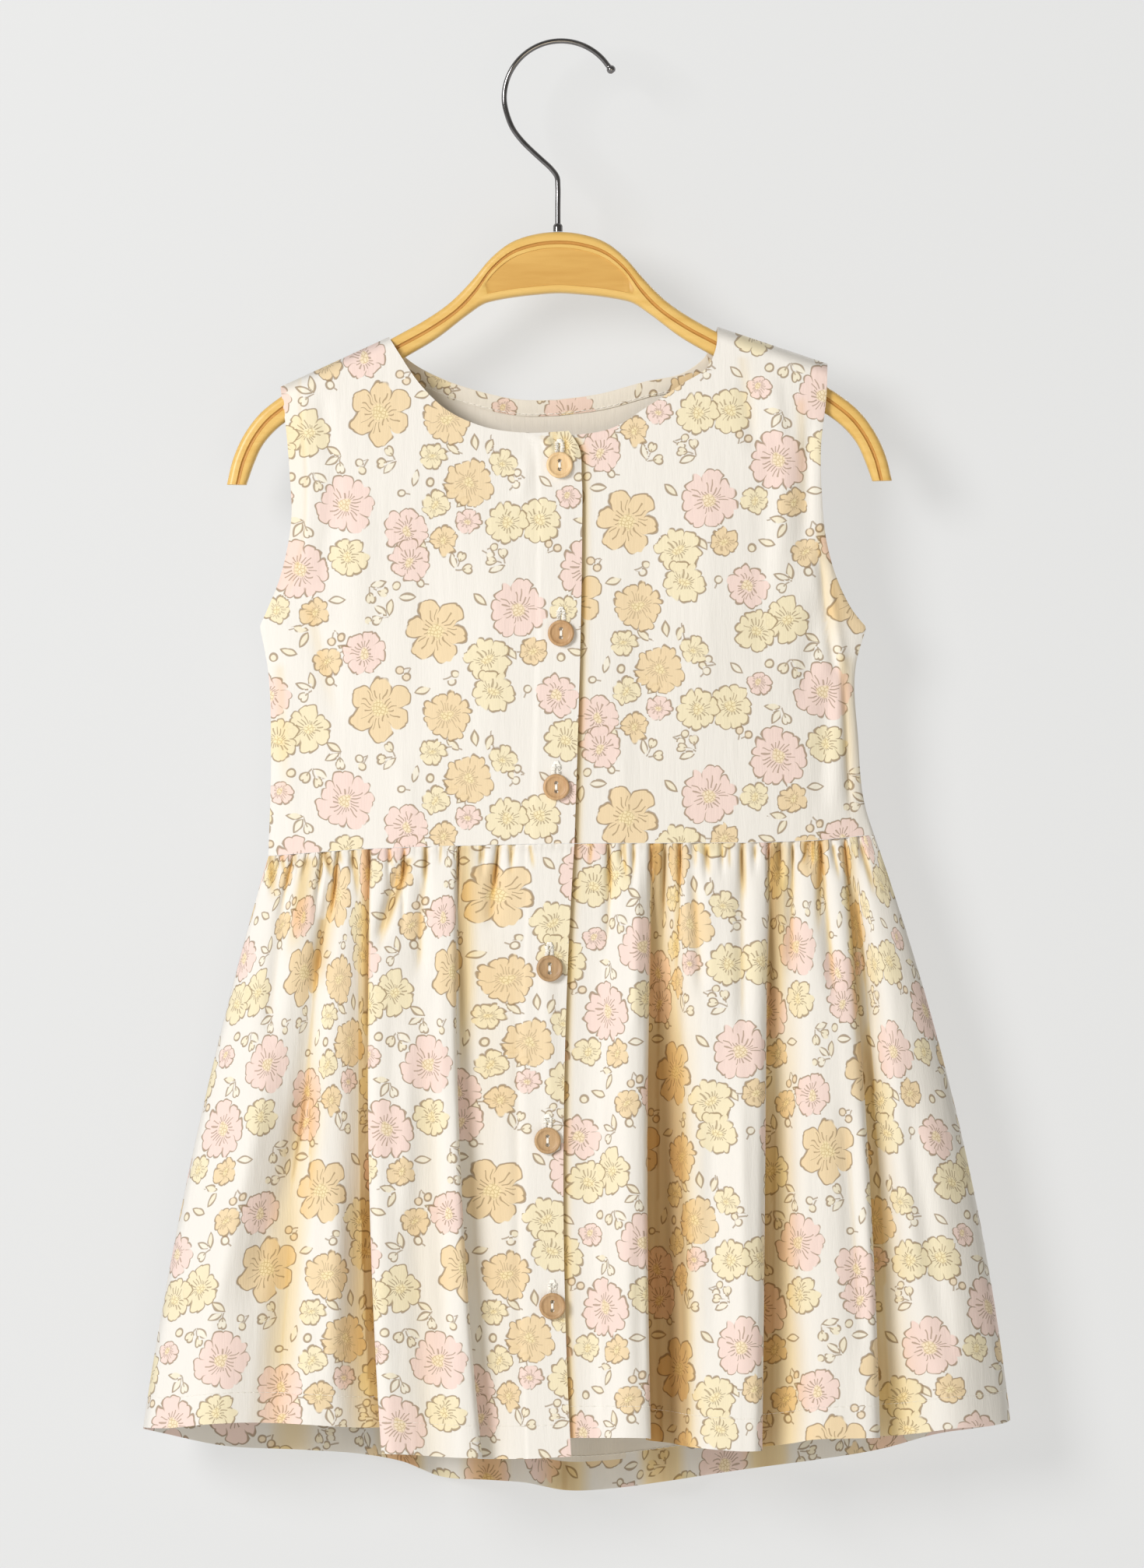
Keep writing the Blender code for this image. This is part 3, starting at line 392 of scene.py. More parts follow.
SKIRT_OVER = Skirt(FOLDS_OVER, GATHERS_OVER, front_waist_out(OVER), -1)
SKIRT_UNDER = Skirt(FOLDS_UNDER, GATHERS_UNDER, front_waist_out(UNDER), -1)
SKIRT_BACK = Skirt(FOLDS_BACK, back_gathers(), back_waist_out, 1)


def seen(points):
    """Points moved so that the camera sees each at the x and z that the tables give."""
    nearness = (CAMERA_DISTANCE + points[..., 1]) / CAMERA_DISTANCE
    moved = np.array(points, float)
    moved[..., 0] = CAMERA_X + (points[..., 0] - CAMERA_X) * nearness
    moved[..., 2] = CAMERA_Z + (points[..., 2] - CAMERA_Z) * nearness
    return moved


# Print

REPEAT = np.array([134.0, 138.0])
CREAM = (0.80, 0.773, 0.724)
PINK = (0.83, 0.65, 0.59)
YELLOW = (0.82, 0.73, 0.50)
PEACH = (0.79, 0.62, 0.38)
BARE = (0.84, 0.785, 0.63)
OUTLINE = (0.26, 0.17, 0.085)

# Columns: how many, radius, petals, how pointed, how shallow the notches are, hatching, ink, in a pair,
# and the room that is left round it
FLOWERS = [
    (2, 15.4, 6, 0.22, 0.82, 1.0, PEACH, False, 14.0),
    (3, 13.0, 7, 0.00, 0.84, 1.0, PINK, False, 11.0),
    (2, 10.2, 6, 0.00, 0.82, 1.0, YELLOW, True, 9.0),
    (1, 9.8, 6, 0.00, 0.82, 1.0, PINK, True, 8.0),
    (2, 11.0, 8, 0.00, 0.88, 0.6, PEACH, False, 5.0),
    (1, 10.2, 6, 0.00, 0.82, 1.0, YELLOW, True, 2.0),
    (2, 9.6, 6, 0.00, 0.80, 1.0, PINK, False, 2.0),
    (1, 8.8, 6, 0.00, 0.80, 1.0, YELLOW, False, 1.5),
    (4, 6.5, 5, 0.00, 0.76, 0.7, PEACH, False, 1.5),
    (4, 6.2, 5, 0.00, 0.76, 0.7, YELLOW, False, 1.2),
    (2, 5.6, 5, 0.00, 0.76, 0.7, PINK, False, 1.2),
]
PAIR_SPACING = 1.5
SAME_INK_APART = 16.0
SPRIG_GAP = 1.8
STEM_BOW = 0.045
STEMMED_BELOW = 7.0
STEM_SHARE = 0.75
STEM_LENGTH = 6.5
HEART = (2.1, 1, 0.0, 0.16, 1.0)
LEAF = (3.7, 2, 0.36, 1.0, 1.9)
BERRY = (1.75, 1, 0.0, 1.0, 1.0)
# Columns: how many, room round it, then its parts: shape, direction in degrees, stem, ink
SPRIGS = [
    (5, 6.6, [(HEART, 60, 5.6, YELLOW), (HEART, 122, 4.4, YELLOW), (LEAF, 22, 0.6, BARE)]),
    (4, 6.2, [(HEART, 50, 4.8, BARE), (LEAF, 105, 1.0, BARE), (LEAF, 165, 0.5, YELLOW)]),
    (4, 4.4, [(BERRY, 60, 4.2, YELLOW), (BERRY, 100, 2.6, BARE)]),
    (3, 4.0, [(BERRY, 80, 3.4, PEACH), (BERRY, 25, 3.0, PEACH)]),
    (5, 3.6, [(LEAF, 70, -3.7, YELLOW)]),
    (4, 3.6, [(LEAF, 120, -3.7, BARE)]),
    (5, 1.9, [(BERRY, 200, -1.75, YELLOW)]),
    (5, 2.8, [(BERRY, 90, 2.4, BARE)]),
]
SECOND_OF_PAIR = 0.94
STEM_FOOT_ROOM = 3.0
STEM_UNDER = 0.1
STEM_REACH = 0.7
FLOWER_SWAY = 3.4
SPRIG_SWAY = 1.0


def wrapped(delta):
    return (delta + REPEAT / 2) % REPEAT - REPEAT / 2


def find_place(random, circles, taken, wanted_gap, kin=(), tries=900):
    """The tried place where the circles keep nearest to the wanted gap from all that is taken.

    It also keeps away from its kin, the motifs in the same ink.
    """
    spots = random.random((tries, 2)) * REPEAT
    if not taken:
        return spots[0]
    others = np.array(taken)
    gap = np.full(tries, np.inf)
    for dx, dy, radius in circles:
        delta = wrapped(spots[:, None, :] + (dx, dy) - others[None, :, :2])
        near = np.linalg.norm(delta, axis=-1) - others[None, :, 2] - radius
        gap = np.minimum(gap, near.min(axis=1))
    score = np.where(gap >= 0, np.abs(gap - wanted_gap), 100 - gap)
    if len(kin):
        apart = np.linalg.norm(wrapped(spots[:, None, :] - np.array(kin)[None, :, :2]), axis=-1)
        apart = (apart - np.array(kin)[None, :, 2]).min(axis=1)
        score = score + np.maximum(SAME_INK_APART - apart, 0.0) * 0.5
    return spots[int(np.argmin(score))]


def chart_print():
    """The motifs of one repeat, in layers.

    Columns: x, y, turn, radius, petals, pointed, floor, aspect, hatch or stem, ink (3), seed.
    """
    random = np.random.default_rng(23)
    layers = {"low": [], "top": [], "sprig": []}
    taken = []
    kin = {}
    seed = 0
    for count, radius, petals, pointed, floor, hatch, ink, paired, room in FLOWERS:
        for _ in range(count):
            seed += 1
            turn = random.random() * 2 * math.pi
            row = (turn, radius, petals, pointed, floor, 1.0, hatch, *ink)
            circles = [(0.0, 0.0, radius)]
            if paired:
                angle = random.random() * math.pi
                half = radius * PAIR_SPACING / 2
                circles = [(-half * math.cos(angle), -half * math.sin(angle), radius),
                           (half * math.cos(angle), half * math.sin(angle), radius * SECOND_OF_PAIR)]
            x, y = find_place(random, circles, taken, room, kin.get(ink, ()))
            for (dx, dy, size), layer in zip(circles, ("low", "top")):
                layers[layer].append((x + dx, y + dy, turn, size, *row[2:], seed * 1.7))
                taken.append((x + dx, y + dy, size))
                kin.setdefault(ink, []).append((x + dx, y + dy, size))
                turn += 0.9
            if radius < STEMMED_BELOW and random.random() < STEM_SHARE:
                way = random.random() * 2 * math.pi
                fall = -(radius + STEM_LENGTH)
                foot = (x + fall * math.cos(way), y + fall * math.sin(way))
                taken.append((*foot, STEM_FOOT_ROOM))
                layers["sprig"].append((x, y, way, *BERRY, -fall, *BARE, seed * 1.3))
                side = way + 0.75
                reach = LEAF[0] + 0.4
                layers["sprig"].append((foot[0] + reach * math.cos(side), foot[1] + reach * math.sin(side),
                                        side, *LEAF, 0.4, *YELLOW, seed * 1.9))
    for count, room, parts in SPRIGS:
        for _ in range(count):
            x, y = find_place(random, [(0.0, 0.0, room)], taken, SPRIG_GAP)
            taken.append((x, y, room))
            lean = random.random() * 2 * math.pi
            for (radius, petals, pointed, floor, aspect), degrees, stem, ink in parts:
                seed += 1
                way = lean + math.radians(degrees)
                reach = stem + radius
                layers["sprig"].append((x + reach * math.cos(way), y + reach * math.sin(way), way, radius,
                                        petals, pointed, floor, aspect, max(stem, 0.0), *ink, seed * 1.7))
    return {name: np.array(rows) for name, rows in layers.items()}


PRINT = chart_print()


def nearest_motif(places, motifs, stemmed):
    """For each place on the flat cloth the motif that is drawn there, and that motif's middle."""
    best = np.full(len(places), np.inf)
    chosen = np.zeros(len(places), int)
    for k, motif in enumerate(motifs):
        delta = wrapped(places - motif[:2])
        way = np.array([math.cos(motif[2]), math.sin(motif[2])])
        along = delta @ way
        across = delta @ np.array([-way[1], way[0]])
        reach = np.hypot(along, across * motif[7]) - motif[3]
        if stemmed and motif[8] > 0:
            behind = -along - motif[3] * (1 - STEM_UNDER)
            length = motif[8] + motif[3] * STEM_UNDER
            bowed = np.abs(across - behind * (length - behind) * STEM_BOW) - STEM_REACH
            reach = np.where((behind > 0) & (behind < length), np.minimum(reach, bowed), reach)
        nearer = reach < best
        best[nearer] = reach[nearer]
        chosen[nearer] = k
    middle = places - wrapped(places - motifs[chosen, :2])
    return motifs[chosen], middle


def lay_print(mesh, corners):
    """Writes which motif each face shows. corners holds each face corner's place on the flat cloth."""
    faces = corners.mean(axis=1)
    for layer, motifs in PRINT.items():
        rows, middle = nearest_motif(faces, motifs, layer == "sprig")
        delta = corners - middle[:, None, :]
        cosine, sine = np.cos(rows[:, 2])[:, None], np.sin(rows[:, 2])[:, None]
        place = np.stack([delta[..., 0] * cosine + delta[..., 1] * sine,
                          delta[..., 1] * cosine - delta[..., 0] * sine,
                          np.broadcast_to(rows[:, 12, None], delta.shape[:2])], axis=-1)
        for label, domain, data in (("place", "CORNER", place), ("form", "FACE", rows[:, 3:6]),
                                    ("style", "FACE", rows[:, 6:9]), ("ink", "FACE", rows[:, 9:12])):
            attribute = mesh.attributes.new(f"{layer}_{label}", "FLOAT_VECTOR", domain)
            attribute.data.foreach_set("vector", np.ascontiguousarray(data, np.float32).ravel())


# Objects and meshes

def add_object(name, data):
    made = bpy.data.objects.new(name, data)
    bpy.context.scene.collection.objects.link(made)
    return made


def skin(bm, rings, capped=True):
    """Faces between rings of points, and over both ends. Gives the faces between the rings, in order."""
    made = []
    for low, high in zip(rings[:-1], rings[1:]):
        for k in range(len(low)):
            j = (k + 1) % len(low)
            made.append(bm.faces.new(dict.fromkeys((low[k], low[j], high[j], high[k]))))
    if capped:
        bm.faces.new(rings[0][::-1])
        bm.faces.new(rings[-1])
    return made


def mesh_of(bm, name, sharp_angle=None):
    """A smooth mesh, sharp at edges beyond the angle in degrees."""
    mesh = bpy.data.meshes.new(name)
    bm.to_mesh(mesh)
    bm.free()
    mesh.shade_smooth()
    if sharp_angle:
        mesh.set_sharp_from_angle(angle=math.radians(sharp_angle))
    return mesh


# Materials

class Number:
    """A number in a node tree, for formulas written as plain sums."""

    def __init__(self, tree, socket):
        self.tree = tree
        self.socket = socket

    def math(self, operation, *others, clamp=False):
        node = self.tree.nodes.new("ShaderNodeMath")
        node.operation = operation
        node.use_clamp = clamp
        for slot, value in zip(node.inputs, (self, *others)):
            if isinstance(value, Number):
                self.tree.links.new(value.socket, slot)
            else:
                slot.default_value = value
        return Number(self.tree, node.outputs[0])

    def __add__(self, other):
        return self.math("ADD", other)

    def __sub__(self, other):
        return self.math("SUBTRACT", other)

    def __mul__(self, other):
        return self.math("MULTIPLY", other)

    def __truediv__(self, other):
        return self.math("DIVIDE", other)

    def ramp(self, low, high):
        """0 at low and below, 1 at high and beyond."""
        return self.math("MULTIPLY_ADD", 1 / (high - low), -low / (high - low), clamp=True)


def split(tree, socket):
    node = tree.nodes.new("ShaderNodeSeparateXYZ")
    tree.links.new(socket, node.inputs[0])
    return [Number(tree, out) for out in node.outputs]


def noise(tree, vector, scale, detail=1.0, roughness=0.5):
    """A noise's value, and its colour's socket."""
    node = tree.nodes.new("ShaderNodeTexNoise")
    node.inputs["Scale"].default_value = scale
    node.inputs["Detail"].default_value = detail
    node.inputs["Roughness"].default_value = roughness
    tree.links.new(vector, node.inputs["Vector"])
    return Number(tree, node.outputs[0]), node.outputs["Color"]


def stretched(tree, vector, scale):
    node = tree.nodes.new("ShaderNodeVectorMath")
    node.operation = "MULTIPLY"
    tree.links.new(vector, node.inputs[0])
    node.inputs[1].default_value = scale
    return node.outputs[0]


# Half the width of the drawn lines, how soft their edges are, and a leaf's half width to its length
LINE_HALF = 0.37
LINE_SOFT = 0.30
LEAF_WIDTH = 0.42
# How much petals differ in length, how deep their edges are scalloped, how far a heart's tip reaches
PETAL_UNEVEN = 0.055
SCALLOP = 0.075
TIP_STRETCH = 0.85
# As shares of a petal's length: where the lines between petals start, and where the flower's heart ends
PETAL_LINE_FROM = (0.62, 0.72)
HEART_END = (0.27, 0.19)
# Scribbled cells in a millimetre of a flower's heart
HEART_CELLS = 0.62
DASHES_A_PETAL = 3
# Distance from a line's middle where it ends, and where it is full
PETAL_LINE = (0.42, 0.14)
DASH_LINE = (0.38, 0.14)
STEM_LINE = (0.52, 0.20)


def petal_dashes(turns, share, room, seed):
    """Dashes that point to the flower's middle, uneven in place and length."""
    pick = ((turns.math("FLOOR") * 3.7 + seed).math("SINE") * 9.3).math("FRACT")
    dash = (turns.math("FRACT") - 0.5).math("ABSOLUTE") * room * (2 * math.pi / DASHES_A_PETAL)
    started = (share - pick * 0.12 - 0.20).math("GREATER_THAN", 0.0)
    not_ended = (pick * 0.34 + 0.36 - share).math("GREATER_THAN", 0.0)
    return dash.ramp(*DASH_LINE) * started * not_ended * 0.85


def scribble(tree, place):
    """Small cells drawn over a flower's heart."""
    cells = tree.nodes.new("ShaderNodeTexVoronoi")
    cells.voronoi_dimensions = "2D"
    cells.feature = "DISTANCE_TO_EDGE"
    cells.inputs["Scale"].default_value = HEART_CELLS
    tree.links.new(place, cells.inputs["Vector"])
    return Number(tree, cells.outputs["Distance"]).ramp(0.16, 0.06) * 0.8


def stem_line(along, across, radius, length):
    """A bowed stem behind a leaf, heart or berry."""
    behind = along * -1.0 - radius * (1 - STEM_UNDER)
    left = length + radius * STEM_UNDER - behind
    bowed = across - behind * left * STEM_BOW
    stem = bowed.math("ABSOLUTE").ramp(*STEM_LINE) * behind.math("GREATER_THAN", 0.0)
    return stem * left.math("GREATER_THAN", 0.0) * 0.9


def motif_group(name, flower):
    """Draws one flower, leaf, heart or berry from its place, form and style."""
    tree = bpy.data.node_groups.new(name, "ShaderNodeTree")
    for label in ("Place", "Form", "Style"):
        tree.interface.new_socket(label, in_out="INPUT", socket_type="NodeSocketVector")
    for label in ("Fill", "Line", "Middle"):
        tree.interface.new_socket(label, in_out="OUTPUT", socket_type="NodeSocketFloat")
    given = tree.nodes.new("NodeGroupInput")
    result = tree.nodes.new("NodeGroupOutput")
    x, y, seed = split(tree, given.outputs["Place"])
    radius, petals, pointed = split(tree, given.outputs["Form"])
    floor, aspect, extra = split(tree, given.outputs["Style"])

    swaying = stretched(tree, given.outputs["Place"], (1.0, 1.0, 3.1))
    sway_x, sway_y, weight = split(tree, noise(tree, swaying, 0.21 if flower else 0.2, 0.0)[1])
    amount = FLOWER_SWAY if flower else SPRIG_SWAY
    along = (sway_x - 0.5) * amount + x
    across = ((sway_y - 0.5) * amount + y) * aspect
    from_middle = (along * along + across * across).math("SQRT").math("MAXIMUM", 0.05)
    turns = across.math("ARCTAN2", along) * petals * (0.5 / math.pi) + (petals - 1.0) * 0.5
    away = (turns.math("FRACT") * 2.0 - 1.0).math("ABSOLUTE")
    cubed = away * away * away
    lobe = (cubed * away * -1.0 + 1.0).math("MAXIMUM", 0.02)
    lobe = lobe.math("SQRT") if flower else lobe
    which = turns.math("FLOOR").math("FLOORED_MODULO", petals)
    reach = radius * ((which * 2.4 + seed).math("SINE") * PETAL_UNEVEN + 1.0)
    notch = floor * -1.0 + 1.0
    edge = reach * (pointed * away * -1.0 + 1.0) * (notch * lobe + floor)
    if flower:
        scallop = (turns * 2.0).math("FRACT") * 2.0 - 1.0
        scallop = scallop * scallop
        edge = edge * (scallop * scallop * -SCALLOP + 1.02)
    else:
        tip = (away * -1.0 + 1.0) * (away * -1.0 + 1.0)
        edge = edge * (tip * tip * notch * TIP_STRETCH + 1.0)
    fall = cubed * 2.0 / lobe.math("MAXIMUM", 0.3) if flower else cubed * 4.0
    slant = reach * petals * (1 / math.pi) * (notch * fall + pointed) / from_middle
    skew = aspect * across
    steep = (slant * slant + 1.0).math("SQRT") * ((along * along + skew * skew).math("SQRT") / from_middle)
    distance = (from_middle - edge) / steep
    if not flower:
        leaf = (across / aspect).math("ABSOLUTE") + along * along * LEAF_WIDTH / radius - radius * LEAF_WIDTH
        distance = distance + (leaf * 0.9 - distance) * pointed.math("GREATER_THAN", 0.3)
    fill = distance.ramp(0.25, -0.25)
    thick = weight * LINE_HALF * 1.4 + LINE_HALF * 0.3
    line = ((thick - distance.math("ABSOLUTE")) * (1 / LINE_SOFT) + 0.5).math("MULTIPLY", 1.0, clamp=True)
    line = line * weight.ramp(0.26, 0.36)
    if flower:
        share = from_middle / reach
        middle = share.ramp(*HEART_END)
        crease = ((away * -1.0 + 1.0) * from_middle / petals * math.pi).ramp(*PETAL_LINE)
        crease = crease * share.ramp(*PETAL_LINE_FROM) * fill
        dashes = petal_dashes(turns * DASHES_A_PETAL, share, from_middle / petals, seed)
        marks = [crease * 0.8, dashes * extra, scribble(tree, given.outputs["Place"]) * middle]
    else:
        middle = fill * 0.0
        marks = [stem_line(along, across / aspect, radius, extra)]
    for mark in marks:
        line = line.math("MAXIMUM", mark)
    for label, value in (("Fill", fill), ("Line", line), ("Middle", middle)):
        tree.links.new(value.socket, result.inputs[label])
    return tree


def principled(name, inputs):
    """A new material, its node tree and its shader, with the given inputs."""
    made = bpy.data.materials.new(name)
    made.use_nodes = True
    shader = made.node_tree.nodes["Principled BSDF"]
    for label, value in inputs.items():
        shader.inputs[label].default_value = value
    return made, made.node_tree, shader


def object_place(tree):
    return tree.nodes.new("ShaderNodeTexCoord").outputs["Object"]


def add_bump(tree, shader, height, strength, distance):
    bump = tree.nodes.new("ShaderNodeBump")
    bump.inputs["Strength"].default_value = strength
    bump.inputs["Distance"].default_value = distance
    tree.links.new(height.socket, bump.inputs["Height"])
    tree.links.new(bump.outputs[0], shader.inputs["Normal"])


def mix_colour(tree, share, first, second, mode="MIX"):
    node = tree.nodes.new("ShaderNodeMix")
    node.data_type = "RGBA"
    node.blend_type = mode
    for slot, value in ((node.inputs[0], share), (node.inputs[6], first), (node.inputs[7], second)):
        if isinstance(value, Number):
            tree.links.new(value.socket, slot)
        elif isinstance(value, bpy.types.NodeSocket):
            tree.links.new(value, slot)
        elif isinstance(value, tuple):
            slot.default_value = (*value, 1.0)
        else:
            slot.default_value = value
    return node.outputs[2]


def attribute(tree, name):
    node = tree.nodes.new("ShaderNodeAttribute")
    node.attribute_name = name
    return node


# Colours of the cloth, how strongly each is printed, and waves of the crinkles per metre
FLOWER_HEART = (0.86, 0.76, 0.47)
HEART_OUTLINE = (0.50, 0.35, 0.14)
UNPRINTED = (0.79, 0.735, 0.645)
FLOWER_INK = 0.92
SPRIG_INK = 0.6
LINE_INK = 0.74
FINE_CRINKLE = (1400.0, 1400.0, 130.0)
BROAD_CRINKLE = (240.0, 240.0, 40.0)
# Painted shade in the folds: a warm tone where the cloth lies between folds, the share of the ramp where
# that tone is full, and dark brown in the deepest troughs
WARM_VALLEY_SHADE = (0.94, 0.79, 0.51)
WARM_VALLEY_SHADE_AT = 0.5
DEEP_VALLEY_SHADE = (0.54, 0.35, 0.15)
CREPE = {"Roughness": 0.85, "Specular IOR Level": 0.25, "Sheen Weight": 0.12, "Sheen Roughness": 0.4}
# The fine crinkles' share in the bump beside the broad ones, and the bump's strength and depth in metres
FINE_CRINKLE_SHARE = 0.35
CREPE_BUMP = (0.6, 0.0005)
# How light the streaks are at least, and what the fine and the broad crinkles add
STREAK_DARKEST = 0.925
STREAK_FINE = 0.12
STREAK_BROAD = 0.05


def printed_colour(tree):
    """The print's layers on cream, with painted shade multiplied in where the cloth lies deep between folds.
    """
    colour = CREAM
    flower, sprig = motif_group("flower", True), motif_group("sprig", False)
    for layer, group in (("sprig", sprig), ("low", flower), ("top", flower)):
        node = tree.nodes.new("ShaderNodeGroup")
        node.node_tree = group
        for label in ("Place", "Form", "Style"):
            tree.links.new(attribute(tree, f"{layer}_{label.lower()}").outputs["Vector"], node.inputs[label])
        fill, line, middle = (Number(tree, node.outputs[k]) for k in range(3))
        ink = attribute(tree, f"{layer}_ink").outputs["Color"]
        colour = mix_colour(tree, fill * (SPRIG_INK if layer == "sprig" else FLOWER_INK), colour, ink)
        drawn = OUTLINE
        if layer != "sprig":
            colour = mix_colour(tree, middle * 0.6, colour, FLOWER_HEART)
            drawn = mix_colour(tree, middle, OUTLINE, HEART_OUTLINE)
        colour = mix_colour(tree, line * LINE_INK, colour, drawn)
    # Painted shade from the mesh's fold shade: white on open cloth, warm in troughs, dark brown in the
    # deepest
    ramp = tree.nodes.new("ShaderNodeValToRGB")
    ramp.color_ramp.elements[0].color = (1.0, 1.0, 1.0, 1.0)
    ramp.color_ramp.elements[1].color = (*DEEP_VALLEY_SHADE, 1.0)
    ramp.color_ramp.elements.new(WARM_VALLEY_SHADE_AT).color = (*WARM_VALLEY_SHADE, 1.0)
    tree.links.new(attribute(tree, "valley_shade").outputs["Fac"], ramp.inputs["Fac"])
    return mix_colour(tree, 1.0, colour, ramp.outputs["Color"], "MULTIPLY")


def cloth_shader(name, printed):
    """Crepe, with fine crinkles and streaks that run down the cloth."""
    made, tree, shader = principled(name, CREPE)
    place = object_place(tree)
    fine = noise(tree, stretched(tree, place, FINE_CRINKLE), 1.0, 2.0, 0.6)[0]
    broad = noise(tree, stretched(tree, place, BROAD_CRINKLE), 1.0, 2.0, 0.5)[0]
    add_bump(tree, shader, fine * FINE_CRINKLE_SHARE + broad, *CREPE_BUMP)
    streaks = (fine * STREAK_FINE + broad * STREAK_BROAD + STREAK_DARKEST).math("MINIMUM", 1.0)
    colour = printed_colour(tree) if printed else UNPRINTED
    shade = tree.nodes.new("ShaderNodeCombineColor")
    for slot in shade.inputs[:3]:
        tree.links.new(streaks.socket, slot)
    colour = mix_colour(tree, 1.0, colour, shade.outputs[0], "MULTIPLY")
    tree.links.new(colour, shader.inputs["Base Color"])
    return made


# Wood: noise where the grain starts to darken and where it is darkest, the shares of grain and fibre in
# the darker tone, how much finer the fibre is, and its bump's strength and depth in metres
GRAIN_FROM_TO = (0.35, 0.68)
GRAIN_SHARE = 0.7
FIBRE_SHARE = 0.3
FIBRE_FINER = 5
FIBRE_BUMP = (0.12, 0.0004)
# Chrome: smears per metre, its tones, dark as a painted reflection of dark surroundings, and its roughness
# with what the smears add to it
CHROME_SMEARS = 160.0
CHROME_DARK_REFLECTION_TONES = ((0.12, 0.115, 0.115), (0.30, 0.29, 0.29))
CHROME_ROUGHNESS = 0.06
CHROME_SMEAR_ROUGHNESS = 0.12
# Thread: turns of its twist per metre, and its tones
THREAD_TWIST = 2600.0
THREAD_TONES = ((0.97, 0.95, 0.90), (0.86, 0.83, 0.76))


def wood_shader(name, colour, dark, roughness, stretch):
    """Long soft grain along the piece, a little darker in streaks. stretch is its waves per metre."""
    made, tree, shader = principled(name, {"Roughness": roughness})
    place = object_place(tree)
    grain = noise(tree, stretched(tree, place, stretch), 1.0, 4.0, 0.6)[0]
    fibre = noise(tree, stretched(tree, place, tuple(FIBRE_FINER * s for s in stretch)), 1.0, 2.0, 0.5)[0]
    mixed = grain.ramp(*GRAIN_FROM_TO) * GRAIN_SHARE + fibre * FIBRE_SHARE
    tree.links.new(mix_colour(tree, mixed, colour, dark), shader.inputs["Base Color"])
    add_bump(tree, shader, fibre, *FIBRE_BUMP)
    return made


def metal_shader():
    made, tree, shader = principled("polished_chrome", {"Metallic": 1.0})
    smear = noise(tree, object_place(tree), CHROME_SMEARS, 3.0)[0]
    # Dark tones: painted reflection of dark surroundings
    tree.links.new(mix_colour(tree, smear, *CHROME_DARK_REFLECTION_TONES), shader.inputs["Base Color"])
    tree.links.new((smear * CHROME_SMEAR_ROUGHNESS + CHROME_ROUGHNESS).socket, shader.inputs["Roughness"])
    return made


def thread_shader():
    made, tree, shader = principled("sewing_thread", {"Roughness": 0.6})
    twist = noise(tree, object_place(tree), THREAD_TWIST)[0]
    tree.links.new(mix_colour(tree, twist, *THREAD_TONES), shader.inputs["Base Color"])
    return made


PRINTED = cloth_shader("printed_crepe", True)
WRONG_SIDE = cloth_shader("crepe_wrong_side", False)
THREAD = thread_shader()


# Cloth

def grid_quads(rows, columns, flip):
    """Quads of a grid whose points run along each row in turn."""
    r, c = np.meshgrid(np.arange(rows - 1), np.arange(columns - 1), indexing="ij")
    a = (r * columns + c).ravel()
    quads = np.stack([a, a + 1, a + 1 + columns, a + columns], axis=1)
    return quads[:, ::-1] if flip else quads


def surface_normals(points, sign):
    """Unit normals of a grid of points, on the side of the garment's outside."""
    along = np.gradient(points, axis=1)
    down = np.gradient(points, axis=0)
    normal = np.cross(down, along)
    normal /= np.maximum(np.linalg.norm(normal, axis=-1, keepdims=True), 1e-9)
    return normal * np.sign(np.sum(normal[..., 1])) * sign


def open_edges(quads):
    """The directed edges that only one quad has."""
    edges = np.concatenate([quads[:, [k, (k + 1) % 4]] for k in range(4)])
    size = int(edges.max()) + 1
    forward = edges[:, 0] * size + edges[:, 1]
    backward = edges[:, 1] * size + edges[:, 0]
    return edges[~np.isin(forward, backward)]


def add_piece(name, mesh, materials, nodes):
    made = add_object(name, mesh)
    for material in materials:
        mesh.materials.append(material)
    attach(made, "root")
    if nodes:
        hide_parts(*nodes)
    return made


def sharpen_border(mesh, rim_points, count):
    """Makes the edges along both rims of a shell sharp."""
    ends = np.zeros(len(mesh.edges) * 2, np.int32)
    mesh.edges.foreach_get("vertices", ends)
    ends = ends.reshape(-1, 2)
    border = np.zeros(2 * count, bool)
    border[rim_points] = True
    border[rim_points + count] = True
    crossing = (ends[:, 0] % count) == (ends[:, 1] % count)
    mark = mesh.attributes.new("sharp_edge", "BOOLEAN", "EDGE")
    mark.data.foreach_set("value", border[ends].all(axis=1) & ~crossing)


